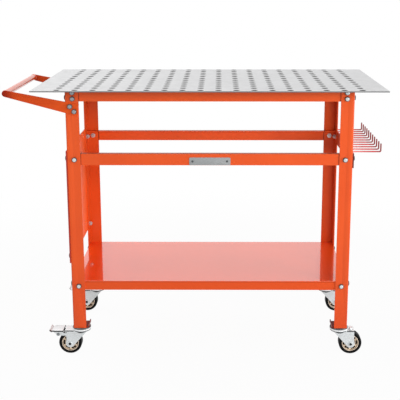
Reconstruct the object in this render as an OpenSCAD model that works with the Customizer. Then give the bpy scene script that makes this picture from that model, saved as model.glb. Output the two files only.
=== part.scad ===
// Mobile welding table: perforated steel work plate on a bolted angle-steel frame,
// with a lower shelf, a side panel, a bar of tool hooks, a push handle and four swivel casters.
// Millimetres. X runs left to right, Y front to back, Z up from the floor.

/* [Work plate] */
// Length of the work plate, left to right
plate_l = 914.4; // [860:0.1:1000]
// Width of the work plate, front to back
plate_w = 457.2; // [400:0.1:560]
// Thickness of the work plate
plate_t = 3; // [2:0.5:6]
// Diameter of a clamping hole
hole_d = 13; // [8:0.5:20]
// Distance between clamping holes along the plate
hole_pitch_l = 46; // [30:0.5:60]
// Distance between clamping holes across the plate
hole_pitch_w = 38.5; // [25:0.5:50]
// Least distance from the plate's ends to the centre of a hole
hole_edge_l = 60; // [20:1:80]
// Least distance from the plate's long edges to the centre of a hole
hole_edge_w = 14; // [12:1:40]

/* [Frame] */
// Length over the legs' outer faces
frame_l = 760; // [700:1:800]
// Width over the legs' outer faces
frame_w = 330; // [300:1:380]
// Length of a leg
leg_l = 671; // [640:1:760]
// Width of a leg's front or rear flange
leg_front = 36; // [34:1:45]
// Width of a leg's side flange
leg_side = 44; // [40:1:60]
// Thickness of the folded steel
steel_t = 2.5; // [2:0.1:3]
// Outer radius of a leg's fold
bend_r = 3; // [2.6:0.1:5]
// Height of the top rails
top_rail_h = 34; // [33:1:40]
// Width of the top rails' inward flange
top_flange = 22.5; // [15:0.5:35]
// Height of the middle rails
mid_rail_h = 31; // [25:1:45]
// Width of the middle rails' inward flange
mid_flange = 12.5; // [8:0.5:20]
// Height of the middle rails' lower edge above the legs' feet
mid_rail_up = 465; // [420:1:500]

/* [Bolts] */
// Diameter of the frame bolts
bolt_d = 8; // [5:0.5:8]
// Width across flats of bolt heads and nuts
bolt_flats = 13; // [10:0.5:13]
// Height of a bolt's head
head_h = 5; // [3:0.5:6]
// Height of a nut
nut_h = 6.5; // [4:0.5:6.5]
// Length of thread standing out of a nut
thread_out = 2; // [0.5:0.5:2]
// Distance from a leg's outer side face to the bolts in its front or rear flange
bolt_in = 20; // [18:0.5:22]
// Distance from a leg's front or rear face to the bolts in its side flange
side_bolt_in = 22; // [22:0.5:26]
// Distance from the plate's underside to the upper bolts of the top rails
upper_bolt_drop = 10.5; // [10:0.5:12]
// Distance from the plate's underside to the lower bolts of the top rails
lower_bolt_drop = 26.5; // [26:0.5:27.5]

/* [Lower shelf] */
// Height of the shelf's upper face above the legs' feet
shelf_up = 138; // [60:1:180]
// Height of the shelf's folded lips
shelf_lip = 26; // [26:1:45]
// Thickness of the shelf's sheet
shelf_t = 1.5; // [1:0.1:2.5]
// Distance from the shelf's upper face to its bolts
shelf_bolt_drop = 14; // [12:0.5:16]

/* [Side panel] */
// Height of the panel on the left legs
panel_h = 314; // [200:1:340]
// Height of the panel's lower edge above the legs' feet
panel_up = 190; // [180:1:220]
// Thickness of the panel
panel_t = 3; // [1.5:0.1:4]
// Distance from the panel's upper edge to its upper bolts
panel_bolt_top = 24; // [12:1:40]
// Distance from the panel's lower edge to its lower bolts
panel_bolt_low = 15; // [12:1:40]
// Diameter of the panel's spare holes
spare_d = 10; // [4:0.5:20]
// Distance of the spare holes from the middle of the panel
spare_out = 87; // [20:1:110]
// Distance from the panel's upper edge to the upper spare holes
spare_top = 11; // [11:1:60]
// Distance from the panel's lower edge to the lower spare holes
spare_low = 35; // [12:1:80]

/* [Hook bar] */
// Height of the hook bar
bar_h = 40; // [30:1:60]
// Height of the hook bar's upper edge above the legs' feet
bar_up = 498; // [470:1:540]
// Thickness of the hook bar
bar_t = 3; // [2:0.1:5]
// Distance from the hook bar's upper edge to its bolts
bar_bolt_drop = 18; // [12:1:20]
// Number of hooks
hook_count = 11; // [3:1:11]
// Distance between hooks
hook_pitch = 30; // [12:1:32]
// Diameter of a hook's rod
hook_d = 4; // [3:0.5:6]
// Distance from the legs' outer face to a hook's outer end
hook_reach = 78; // [50:1:110]
// Height of a hook's upturned end above its rod
hook_rise = 22.5; // [10:0.5:40]
// Inner radius of a hook's bend
hook_bend = 1.5; // [1:0.5:5]

/* [Push handle] */
// Distance from the left legs' outer face to the grip's axis
handle_reach = 155; // [100:1:220]
// Distance from the plate's underside down to the grip's axis
grip_drop = 13; // [10:0.5:60]
// Diameter of the grip bar
grip_d = 16.5; // [12:0.5:17]
// Thickness of a handle arm
arm_t = 3; // [2:0.1:5]
// Radius of a handle arm's outer end
arm_end_r = 8.5; // [8.5:0.5:12]
// Length of a handle arm over the leg
arm_root_in = 37; // [32:0.5:40]
// Distance from the plate's underside to the top of an arm's inner end
arm_root_drop = 41; // [40:0.5:50]
// Height of a handle arm at its inner end
arm_root_h = 32; // [30:0.5:40]
// Distance from the leg's outer side face to the first handle bolt
arm_bolt_a_in = 13.5; // [12:0.5:14]
// Distance from the plate's underside to the first handle bolt
arm_bolt_a_drop = 46.5; // [46:0.5:48]
// Distance from the leg's outer side face to the second handle bolt
arm_bolt_b_in = 24.5; // [24:0.5:25]
// Distance from the plate's underside to the second handle bolt
arm_bolt_b_drop = 60; // [60:0.5:61]

/* [Name plate] */
// Length of the bare name plate
tag_l = 110; // [60:1:160]
// Height of the bare name plate
tag_h = 21; // [12:0.5:24]
// Thickness of the bare name plate
tag_t = 1; // [0.5:0.1:2]
// Height of the name plate's lower edge above the middle rail's lower edge
tag_up = 0.5; // [0:0.1:5]
// Distance between the name plate's rivets
rivet_pitch = 92; // [30:1:100]
// Diameter of a rivet's shank
rivet_d = 3.2; // [2:0.1:4]

/* [Casters] */
// Diameter of a wheel
wheel_d = 63.5; // [50:0.5:75]
// Width of a wheel
wheel_w = 25; // [18:0.5:32]
// Thickness of the tyre on its rim
tyre_wall = 8.4; // [5:0.1:10]
// Radius of the tyre's shoulders
tyre_round = 4; // [2:0.5:4.5]
// Diameter of the wheel's hub
hub_d = 17; // [14:0.5:20]
// Thickness of the wheel's web
web_t = 12; // [6:0.5:16]
// Diameter of the axle bolt
axle_d = 8; // [6:0.5:8]
// Distance from the swivel axis to the axle
trail = 32; // [30:0.5:36]
// Distance from a leg's outer faces to the swivel axis
caster_in = 20; // [18:0.5:24]
// Gap between the tyre and the fork's crown
tyre_gap = 8.2; // [7:0.1:14]
// Thickness of the fork's sheet
fork_t = 2.3; // [1.5:0.1:3]
// Gap between the tyre and each fork side
side_gap = 1.5; // [1:0.1:3]
// Radius of the fork's lower ends around the axle
boss_r = 12; // [9:0.5:14]
// Diameter of the swivel cup
cup_d = 51; // [48:0.5:56]
// Thickness of the swivel cup
cup_t = 2; // [1.5:0.1:3]
// Height of the ball race between the cup and the fork
race_h = 4; // [3:0.1:6]
// Number of balls in a swivel
ball_count = 16; // [6:1:20]
// Diameter of the threaded stem
stem_d = 12; // [8:0.5:12]
// Width across flats of the stem's nut
stem_flats = 19; // [16:0.5:20]
// Width of a foot plate
foot_w = 42.5; // [42:0.5:56]
// Thickness of a foot plate
foot_t = 3; // [2:0.1:5]
// Height of a foot plate's upstand
foot_lip = 5; // [4:0.5:20]

/* [Brakes] */
// Gap between the tyre and the axis of the pedal's pin
pin_gap = 11.2; // [10.5:0.1:14]
// Angle of the pedal's pin above the axle, seen from the side
pin_angle = 43; // [41:0.5:46]
// Diameter of the pedal's pin
pin_d = 5; // [4:0.1:6]
// Width of a brake pedal
pedal_w = 38; // [38:0.5:44]
// Thickness of a brake pedal's sheet
pedal_t = 2; // [1.2:0.1:2.5]
// Length of a brake pedal beyond its pin
pedal_out = 24.5; // [12:0.5:40]
// Angle by which the rear pedal stands raised
pedal_lift = 15; // [0:1:18]

/* [Fits] */
// Radial clearance of a shaft that turns in its hole
running_gap = 0.05; // [0.02:0.01:0.1]
// Gap between pieces that pass without touching
pass_gap = 0.3; // [0.2:0.05:0.5]
// Radial clearance of a bolt in its hole
hole_gap = 0.2; // [0.1:0.05:0.5]

/* [Hidden] */

orange = "#e8592c";
zinc = "#cdd1d2";
galvanised = "#c8cccd";
bolt_silver = "#bfc5c8";
hook_red = "#b8342a";
rim_tan = "#be9f80";
tyre_black = "#1a1a1c";

// The sides of the table, as signs along X and Y
left = -1;
right = 1;
front = -1;
rear = 1;
sides = [left, right];
ends = [front, rear];
round_fn = 48;
cut = 1;              // how far a cutting solid runs past the faces it cuts

// Heights above the floor
axle_z = wheel_d / 2;
crown_z = wheel_d + tyre_gap;                         // underside of the fork's crown
race_z = crown_z + fork_t;                            // underside of the balls' space
foot_z = race_z + race_h + cup_t;                     // feet of the legs
under_z = foot_z + leg_l;                             // underside of the work plate
shelf_z = foot_z + shelf_up;                          // upper face of the shelf
shelf_bolt_z = shelf_z - shelf_bolt_drop;
mid_rail_z = foot_z + mid_rail_up;                    // lower edge of the middle rails
mid_bolt_z = mid_rail_z + mid_rail_h / 2;
upper_bolt_z = under_z - upper_bolt_drop;
lower_bolt_z = under_z - lower_bolt_drop;
panel_z = foot_z + panel_up;                          // lower edge of the side panel
panel_bolts_z = [panel_z + panel_bolt_low, panel_z + panel_h - panel_bolt_top];
spare_holes_z = [panel_z + spare_low, panel_z + panel_h - spare_top];
bar_z = foot_z + bar_up;                              // upper edge of the hook bar
bar_bolt_z = bar_z - bar_bolt_drop;
grip_z = under_z - grip_drop;

// The origin lies under the middle of the whole table, so the plate stands off it along X
left_reach = max(plate_l / 2, frame_l / 2 + handle_reach + arm_end_r);
right_reach = max(plate_l / 2, frame_l / 2 + hook_reach);
table_x = (left_reach - right_reach) / 2;

// The inside of the frame, between the legs' flanges
inner_l = frame_l - 2 * steel_t;
inner_w = frame_w - 2 * steel_t;

// Clamping holes, as many as fit inside the plate's margins
hole_cols = floor((plate_l - 2 * hole_edge_l) / hole_pitch_l);
hole_rows = floor((plate_w - 2 * hole_edge_w) / hole_pitch_w);

// Push handle
arm_bolts = [[arm_bolt_a_in, under_z - arm_bolt_a_drop], [arm_bolt_b_in, under_z - arm_bolt_b_drop]];

// Fork and brake, along the trail from the swivel axis, and above the floor
fork_in = wheel_w / 2 + side_gap;                     // inner face of a fork side
fork_out = fork_in + fork_t;
skirt_z = crown_z - pass_gap;                         // lower rim of the cup's skirt
cup_r = cup_d / 2;
skirt_in_r = cup_r - cup_t;
crown_r = skirt_in_r - 2 * pass_gap;
shoulder_z = skirt_z - 2 * pass_gap;                  // upper edge of the fork sides
neck_inset = 0.5;                                     // keeps the sides' corners inside the crown's edge
neck = sqrt(pow(crown_r - neck_inset, 2) - pow(fork_out, 2)); // half length of the sides under the crown
lead = cup_r * 0.7;                                   // front corner of the fork sides
wheel_r = wheel_d / 2;
axle_boss = [trail, axle_z];
pin_u = trail + (wheel_r + pin_gap) * cos(pin_angle);
pin_z = axle_z + (wheel_r + pin_gap) * sin(pin_angle);
ear_r = pin_d / 2 + 3.5;
deck_end = pin_u - 18;                                // outer end of a braked fork's deck
plain_end = trail + 9.5;                              // trailing edge of a fork side, and a plain deck's end
notch_r = 5;                                          // inner corner between a trailing edge and its ear
pedal_under = pin_z + ear_r + 1.5;                    // underside of the pedal's tread
tread_start = deck_end + 3;
cheek_in = fork_out + pass_gap;
cheek_t = pedal_w / 2 - cheek_in;
ball_d = race_h - pass_gap;
ball_ring_r = (crown_r + stem_d / 2) / 2 + 2;

// Points along an arc about c, from angle a to angle b
function arc(c, r, a, b, steps = 8) =
    [for (i = [0 : steps]) let (t = a + (b - a) * i / steps) c + r * [cos(t), sin(t)]];

// Angle at which a line from p touches the circle about c, on the side given by sign
function touch_angle(p, c, r, sign) =
    atan2(p.y - c.y, p.x - c.x) + sign * acos(r / norm(p - c));

// Places its children in the table's own frame, with the plate's middle over the origin
module at_table() {
    translate([table_x, 0, 0]) children();
}

// Places its children on a leg's front or rear face, with +Z going into the frame
module on_end(side, end, x_in, z) {
    at_table() translate([side * (frame_l / 2 - x_in), end * frame_w / 2, z])
        rotate([end * 90, 0, 0]) children();
}

// Places its children on a leg's side face, with +Z going into the frame
module on_side(side, end, z) {
    at_table() translate([side * frame_l / 2, end * (frame_w / 2 - side_bolt_in), z])
        rotate([0, -side * 90, 0]) children();
}

// Places its children on a swivel axis, with +X along the trail and Z from the floor
module at_caster(side, end) {
    at_table() translate([side * (frame_l / 2 - caster_in), end * (frame_w / 2 - caster_in), 0])
        mirror([side == left ? 1 : 0, 0, 0]) children();
}

// Hexagon of a given width across flats
module hexagon(flats, h) {
    cylinder(r = flats / 2 / cos(30), h = h, $fn = 6);
}

// Bolt whose head sits on z = 0, with the clamped pieces above it
module bolt(grip) {
    translate([0, 0, -head_h]) hexagon(bolt_flats, head_h);
    cylinder(d = bolt_d, h = grip + nut_h + thread_out, $fn = round_fn);
}

// Nut behind clamped pieces of a given thickness
module nut(grip) {
    translate([0, 0, grip]) difference() {
        hexagon(bolt_flats, nut_h);
        translate([0, 0, -cut])
            cylinder(d = bolt_d + 2 * running_gap, h = nut_h + 2 * cut, $fn = round_fn);
    }
}

// Cutter for a bolt hole through anything near a face at z = 0
module bolt_hole(depth = 8) {
    translate([0, 0, -depth])
        cylinder(d = bolt_d + 2 * hole_gap, h = 2 * depth, $fn = round_fn);
}

// Every place of a kind of bolt, with its children drawn there
module top_rail_places() {
    for (side = sides, end = ends, z = [upper_bolt_z, lower_bolt_z]) on_end(side, end, bolt_in, z) children();
}
module side_rail_places() {
    for (side = sides, end = ends) on_side(side, end, lower_bolt_z) children();
}
module mid_rail_places() {
    for (side = sides, end = ends) on_end(side, end, bolt_in, mid_bolt_z) children();
}
module shelf_end_places() {
    for (side = sides, end = ends) on_end(side, end, bolt_in, shelf_bolt_z) children();
}
module shelf_side_places() {
    for (side = sides, end = ends) on_side(side, end, shelf_bolt_z) children();
}
module panel_places() {
    for (end = ends, z = panel_bolts_z) on_side(left, end, z) children();
}
module bar_places() {
    for (end = ends) on_side(right, end, bar_bolt_z) children();
}
module arm_places(end) {
    for (place = arm_bolts) on_end(left, end, place[0], place[1]) children();
}

// Work plate with its grid of clamping holes
module top_plate() {
    color(galvanised) at_table() translate([0, 0, under_z]) difference() {
        translate([-plate_l / 2, -plate_w / 2, 0]) cube([plate_l, plate_w, plate_t]);
        for (i = [0 : hole_cols], j = [0 : hole_rows])
            translate([(i - hole_cols / 2) * hole_pitch_l, (j - hole_rows / 2) * hole_pitch_w, -cut])
                cylinder(d = hole_d, h = plate_t + 2 * cut, $fn = round_fn);
    }
}

// Section of a leg, with its outer corner at the origin and its flanges along +X and +Y
module leg_section() {
    polygon(concat(
        arc([bend_r, bend_r], bend_r, 270, 180),
        [[0, leg_side], [steel_t, leg_side], [steel_t, steel_t], [leg_front, steel_t], [leg_front, 0]]));
}

// Folded angle with its fold at the table's outer corner and holes for its bolts
module leg(side, end) {
    color(orange) difference() {
        at_table() translate([side * frame_l / 2, end * frame_w / 2, foot_z])
            mirror([side == right ? 1 : 0, 0, 0]) mirror([0, end == rear ? 1 : 0, 0])
                linear_extrude(leg_l) leg_section();
        top_rail_places() bolt_hole();
        side_rail_places() bolt_hole();
        mid_rail_places() bolt_hole();
        shelf_end_places() bolt_hole();
        shelf_side_places() bolt_hole();
        if (side == left) {
            panel_places() bolt_hole();
            arm_places(end) bolt_hole();
        }
        if (side == right) bar_places() bolt_hole();
    }
}

module front_left_leg() { leg(left, front); }
module front_right_leg() { leg(right, front); }
module rear_left_leg() { leg(left, rear); }
module rear_right_leg() { leg(right, rear); }

// Angle rail behind the legs' front or rear flanges, with its flange at the top
module long_rail(end, z, h, flange, flange_l) {
    color(orange) difference() {
        at_table() mirror([0, end == rear ? 1 : 0, 0]) {
            translate([-inner_l / 2, -inner_w / 2, z]) cube([inner_l, steel_t, h]);
            translate([-flange_l / 2, -inner_w / 2, z + h - steel_t])
                cube([flange_l, steel_t + flange, steel_t]);
        }
        top_rail_places() bolt_hole();
        mid_rail_places() bolt_hole();
        if (end == front) rivet_places() rivet_hole();
    }
}

// The top rails' flanges end short of the side rails' flanges
module long_top_rail(end) {
    long_rail(end, under_z - top_rail_h, top_rail_h, top_flange,
        inner_l - 2 * (steel_t + top_flange + pass_gap));
}

module front_top_rail() { long_top_rail(front); }
module rear_top_rail() { long_top_rail(rear); }
module front_mid_rail() { long_rail(front, mid_rail_z, mid_rail_h, mid_flange, inner_l); }
module rear_mid_rail() { long_rail(rear, mid_rail_z, mid_rail_h, mid_flange, inner_l); }

// Angle rail behind the legs' side flanges, between the long rails
module side_top_rail(side) {
    rail_l = inner_w - 2 * (steel_t + pass_gap);
    color(orange) difference() {
        at_table() mirror([side == right ? 1 : 0, 0, 0]) {
            translate([-inner_l / 2, -rail_l / 2, under_z - top_rail_h])
                cube([steel_t, rail_l, top_rail_h]);
            translate([-inner_l / 2, -rail_l / 2, under_z - steel_t])
                cube([steel_t + top_flange, rail_l, steel_t]);
        }
        side_rail_places() bolt_hole();
    }
}

module left_top_rail() { side_top_rail(left); }
module right_top_rail() { side_top_rail(right); }

// Tray turned upside down, with folded lips inside the legs' flanges
module lower_shelf() {
    color(orange) difference() {
        at_table() difference() {
            translate([-inner_l / 2, -inner_w / 2, shelf_z - shelf_lip])
                cube([inner_l, inner_w, shelf_lip]);
            translate([-inner_l / 2 + shelf_t, -inner_w / 2 + shelf_t, shelf_z - shelf_lip - cut])
                cube([inner_l - 2 * shelf_t, inner_w - 2 * shelf_t, shelf_lip + cut - shelf_t]);
        }
        shelf_end_places() bolt_hole();
        shelf_side_places() bolt_hole();
    }
}

// Flat sheet across the left legs' outer faces
module left_side_panel() {
    color(orange) difference() {
        at_table() translate([-frame_l / 2 - panel_t, -frame_w / 2, panel_z])
            cube([panel_t, frame_w, panel_h]);
        panel_places() bolt_hole();
        at_table() for (end = ends, z = spare_holes_z)
            translate([-frame_l / 2 - panel_t - cut, end * spare_out, z]) rotate([0, 90, 0])
                cylinder(d = spare_d, h = panel_t + 2 * cut, $fn = round_fn);
    }
}

// Flat bar across the right legs' outer faces
module hook_bar() {
    color(orange) difference() {
        at_table() translate([frame_l / 2, -frame_w / 2, bar_z - bar_h])
            cube([bar_t, frame_w, bar_h]);
        bar_places() bolt_hole();
    }
}

// Bent rods welded on the hook bar's upper edge
module tool_hooks() {
    r = hook_d / 2;
    bend = r + hook_bend;
    rod_l = hook_reach - r - bend - pass_gap;
    color(hook_red) at_table() for (i = [0 : hook_count - 1])
        translate([frame_l / 2 + pass_gap, (i - (hook_count - 1) / 2) * hook_pitch, bar_z + r]) {
            rotate([0, 90, 0]) cylinder(r = r, h = rod_l, $fn = round_fn);
            translate([rod_l, 0, bend]) rotate([90, 0, 0]) rotate([0, 0, -90])
                rotate_extrude(angle = 90, $fn = round_fn) translate([bend, 0]) circle(r = r, $fn = round_fn);
            translate([rod_l + bend, 0, bend])
                cylinder(r = r, h = hook_rise - bend, $fn = round_fn);
        }
}

// Tapered flat arm from the leg out to the grip
module handle_arm(end) {
    tip = [-frame_l / 2 - handle_reach, grip_z];
    top_in = [-frame_l / 2 + arm_root_in, under_z - arm_root_drop];
    slope = atan2(top_in.y - tip.y, top_in.x - tip.x);
    low_in = top_in + arm_root_h * [sin(slope), -cos(slope)];
    a = touch_angle(top_in, tip, arm_end_r, 1);
    b = touch_angle(low_in, tip, arm_end_r, -1) + 360;
    color(orange) difference() {
        at_table() translate([0, end * frame_w / 2, 0]) mirror([0, end == rear ? 1 : 0, 0])
            rotate([90, 0, 0]) linear_extrude(arm_t)
                polygon(concat([low_in, top_in], arc(tip, arm_end_r, a, b, 12)));
        arm_places(end) bolt_hole();
    }
}

module handle_front_arm() { handle_arm(front); }
module handle_rear_arm() { handle_arm(rear); }

// Round bar between the two arms
module handle_grip() {
    color(orange) at_table() translate([-frame_l / 2 - handle_reach, frame_w / 2, grip_z])
        rotate([90, 0, 0]) cylinder(d = grip_d, h = frame_w, $fn = round_fn);
}

module rivet_places() {
    at_table() for (side = sides)
        translate([side * rivet_pitch / 2, -inner_w / 2, mid_rail_z + tag_up + tag_h / 2])
            rotate([-90, 0, 0]) children();
}
module rivet_hole() {
    translate([0, 0, -5]) cylinder(d = rivet_d + 2 * running_gap, h = 10, $fn = round_fn);
}

// Bare plate on the front middle rail
module name_plate() {
    color(bolt_silver) difference() {
        at_table() translate([-tag_l / 2, -inner_w / 2 - tag_t, mid_rail_z + tag_up])
            cube([tag_l, tag_t, tag_h]);
        rivet_places() rivet_hole();
    }
}

// Rivets through the name plate and the rail
module name_plate_rivets() {
    color(bolt_silver) rivet_places() {
        cap_t = 1;
        translate([0, 0, -tag_t - cap_t]) cylinder(r1 = rivet_d * 0.7, r2 = rivet_d, h = cap_t, $fn = round_fn);
        translate([0, 0, -tag_t]) cylinder(d = rivet_d, h = tag_t + steel_t + cap_t, $fn = round_fn);
    }
}

// Plates welded in the legs' feet, each with an upstand on its inner edge
module foot_plates() {
    color(orange) for (side = sides, end = ends)
        at_table() translate([side * frame_l / 2, end * frame_w / 2, foot_z])
            mirror([side == right ? 1 : 0, 0, 0]) mirror([0, end == rear ? 1 : 0, 0]) difference() {
                union() {
                    translate([steel_t, steel_t, 0]) cube([foot_w - steel_t, foot_w - steel_t, foot_t]);
                    translate([foot_w - steel_t, steel_t, 0])
                        cube([steel_t, foot_w - steel_t, foot_t + foot_lip]);
                }
                translate([caster_in, caster_in, -cut])
                    cylinder(d = stem_d + 2 * hole_gap, h = foot_t + 2 * cut, $fn = round_fn);
            }
}

module frame_bolts() {
    color(bolt_silver) {
        top_rail_places() bolt(2 * steel_t);
        side_rail_places() bolt(2 * steel_t);
        mid_rail_places() bolt(2 * steel_t);
    }
}
module frame_nuts() {
    color(bolt_silver) {
        top_rail_places() nut(2 * steel_t);
        side_rail_places() nut(2 * steel_t);
        mid_rail_places() nut(2 * steel_t);
    }
}

// Bolts of the side panel and the hook bar, whose heads sit on those sheets
module side_bolts() {
    color(bolt_silver) {
        panel_places() translate([0, 0, -panel_t]) bolt(panel_t + steel_t);
        bar_places() translate([0, 0, -bar_t]) bolt(bar_t + steel_t);
    }
}
module side_nuts() {
    color(bolt_silver) {
        panel_places() nut(steel_t);
        bar_places() nut(steel_t);
    }
}

module shelf_bolts() {
    color(bolt_silver) {
        shelf_end_places() bolt(steel_t + shelf_t);
        shelf_side_places() bolt(steel_t + shelf_t);
    }
}
module shelf_nuts() {
    color(bolt_silver) {
        shelf_end_places() nut(steel_t + shelf_t);
        shelf_side_places() nut(steel_t + shelf_t);
    }
}

module handle_bolts() {
    color(bolt_silver) for (end = ends)
        arm_places(end) translate([0, 0, -arm_t]) bolt(arm_t + steel_t);
}
module handle_nuts() {
    color(bolt_silver) for (end = ends) arm_places(end) nut(steel_t);
}

// Nuts that hold the casters' stems on the foot plates
module stem_nuts() {
    stem_nut_h = 8;
    color(bolt_silver) for (side = sides, end = ends)
        at_caster(side, end) translate([0, 0, foot_z + foot_t]) difference() {
            hexagon(stem_flats, stem_nut_h);
            translate([0, 0, -cut])
                cylinder(d = stem_d + 2 * running_gap, h = stem_nut_h + 2 * cut, $fn = round_fn);
        }
}

// Balls that run between each cup and the crown of its fork
module swivel_balls() {
    color(zinc) for (side = sides, end = ends) at_caster(side, end)
        for (i = [0 : ball_count - 1]) rotate([0, 0, i * 360 / ball_count])
            translate([ball_ring_r, 0, race_z + race_h / 2]) sphere(d = ball_d, $fn = 24);
}

// Round cup over the fork's crown, with a skirt that hides the balls
module cup(side, end) {
    color(zinc) at_caster(side, end) rotate_extrude($fn = 96) polygon([
        [stem_d / 2 + running_gap, foot_z], [cup_r, foot_z], [cup_r, skirt_z], [skirt_in_r, skirt_z],
        [skirt_in_r, foot_z - cup_t], [stem_d / 2 + running_gap, foot_z - cup_t]]);
}
module front_left_cup() { cup(left, front); }
module front_right_cup() { cup(right, front); }
module rear_left_cup() { cup(left, rear); }
module rear_right_cup() { cup(right, rear); }

// Threaded stem with a head under the fork's crown
module stem(side, end) {
    stem_head_h = 2.5;
    stem_top = foot_z + foot_t + 10;
    head_z = crown_z - pass_gap - stem_head_h;
    color(zinc) at_caster(side, end) {
        translate([0, 0, head_z]) cylinder(d = stem_d + 7, h = stem_head_h, $fn = round_fn);
        translate([0, 0, head_z]) cylinder(d = stem_d, h = stem_top - head_z, $fn = round_fn);
    }
}
module front_left_stem() { stem(left, front); }
module front_right_stem() { stem(right, front); }
module rear_left_stem() { stem(left, rear); }
module rear_right_stem() { stem(right, rear); }

// Side of a fork, seen from the front, with an ear for the pedal's pin if it is braked
module fork_side(braked) {
    nose = [-lead, shoulder_z];
    deck = braked ? deck_end : plain_end;
    pin = [pin_u, pin_z];
    // the outline's last corner before the boss, on the trailing edge
    heel = [plain_end, axle_z + boss_r];
    low_a = touch_angle(nose, axle_boss, boss_r, 1);
    low_b = touch_angle(heel, axle_boss, boss_r, -1);
    notch = [plain_end + notch_r, pin_z - ear_r - notch_r];
    ear = braked
        ? concat([[deck, pin_z + 1]], arc(pin, ear_r, 110, -90), arc(notch, notch_r, 90, 180, 6), [heel])
        : [heel];
    polygon(concat(
        [nose, [-neck, shoulder_z], [-neck, crown_z + cut / 2], [neck, crown_z + cut / 2],
            [neck, shoulder_z], [deck, shoulder_z]],
        ear, arc(axle_boss, boss_r, low_b, low_a - 360, 14)));
}

// Pressed fork: a round crown under the cup, two sides and a deck over the wheel
module fork(side, end, braked) {
    deck = braked ? deck_end : plain_end;
    color(zinc) at_caster(side, end) difference() {
        union() {
            translate([0, 0, crown_z]) cylinder(r = crown_r, h = fork_t, $fn = 96);
            for (y = [-fork_in, fork_out]) translate([0, y, 0])
                rotate([90, 0, 0]) linear_extrude(fork_t) fork_side(braked);
            translate([neck, -fork_out, shoulder_z - fork_t])
                cube([deck - neck, 2 * fork_out, fork_t]);
        }
        translate([0, 0, crown_z - cut])
            cylinder(d = stem_d + 2 * running_gap, h = fork_t + 2 * cut, $fn = round_fn);
        translate([trail, fork_out + cut, axle_z]) rotate([90, 0, 0])
            cylinder(d = axle_d + 2 * running_gap, h = 2 * (fork_out + cut), $fn = round_fn);
        if (braked) translate([pin_u, fork_out + cut, pin_z]) rotate([90, 0, 0])
            cylinder(d = pin_d + 2 * running_gap, h = 2 * (fork_out + cut), $fn = round_fn);
    }
}
module front_left_fork() { fork(left, front, true); }
module front_right_fork() { fork(right, front, false); }
module rear_left_fork() { fork(left, rear, true); }
module rear_right_fork() { fork(right, rear, false); }

// Axle bolt through the fork and the hub, with its nut on the far side
module axle(side, end) {
    axle_head_h = 3;
    axle_nut_h = 4;
    socket_d = axle_d * 0.6;
    color(zinc) at_caster(side, end) translate([trail, -fork_out, axle_z]) rotate([-90, 0, 0]) {
        difference() {
            union() {
                translate([0, 0, -axle_head_h]) cylinder(d = axle_d + 4, h = axle_head_h, $fn = round_fn);
                cylinder(d = axle_d, h = 2 * fork_out + axle_nut_h + 1, $fn = round_fn);
            }
            translate([0, 0, -axle_head_h - cut]) cylinder(d = socket_d, h = axle_head_h, $fn = 6);
        }
        translate([0, 0, 2 * fork_out]) difference() {
            hexagon(axle_d + 5, axle_nut_h);
            translate([0, 0, -cut])
                cylinder(d = axle_d + 2 * running_gap, h = axle_nut_h + 2 * cut, $fn = round_fn);
        }
    }
}
module front_left_axle() { axle(left, front); }
module front_right_axle() { axle(right, front); }
module rear_left_axle() { axle(left, rear); }
module rear_right_axle() { axle(right, rear); }

// Rim with a thick hub, a thinner web and slots near its outer band
module rim(side, end) {
    rim_r = wheel_r - tyre_wall;
    band_t = 2.5;
    band_h = wheel_w - 3;
    hub_h = 2 * (fork_in - pass_gap);
    slot_count = 6;
    slot_in = hub_d / 2 + 3;
    slot_out = rim_r - band_t - 1.5;
    color(rim_tan) at_caster(side, end) translate([trail, 0, axle_z]) rotate([90, 0, 0]) difference() {
        rotate_extrude($fn = 96) polygon([
            [axle_d / 2 + running_gap, hub_h / 2], [hub_d / 2, hub_h / 2], [hub_d / 2, web_t / 2],
            [rim_r - band_t, web_t / 2], [rim_r - band_t, band_h / 2], [rim_r, band_h / 2],
            [rim_r, -band_h / 2], [rim_r - band_t, -band_h / 2], [rim_r - band_t, -web_t / 2],
            [hub_d / 2, -web_t / 2], [hub_d / 2, -hub_h / 2], [axle_d / 2 + running_gap, -hub_h / 2]]);
        for (i = [0 : slot_count - 1]) rotate([0, 0, i * 360 / slot_count])
            translate([0, 0, -web_t]) rotate_extrude(angle = 34, $fn = 96)
                translate([slot_in, 0]) square([slot_out - slot_in, 2 * web_t]);
    }
}
module front_left_rim() { rim(left, front); }
module front_right_rim() { rim(right, front); }
module rear_left_rim() { rim(left, rear); }
module rear_right_rim() { rim(right, rear); }

// Solid tyre with rounded shoulders
module tyre(side, end) {
    rim_r = wheel_r - tyre_wall;
    edge = wheel_w / 2;
    color(tyre_black) at_caster(side, end) translate([trail, 0, axle_z]) rotate([90, 0, 0])
        rotate_extrude($fn = 128) polygon(concat(
            [[rim_r, -edge]],
            arc([wheel_r - tyre_round, -edge + tyre_round], tyre_round, -90, 0, 6),
            arc([wheel_r - tyre_round, edge - tyre_round], tyre_round, 0, 90, 6),
            [[rim_r, edge]]));
}
module front_left_tyre() { tyre(left, front); }
module front_right_tyre() { tyre(right, front); }
module rear_left_tyre() { tyre(left, rear); }
module rear_right_tyre() { tyre(right, rear); }

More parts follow.
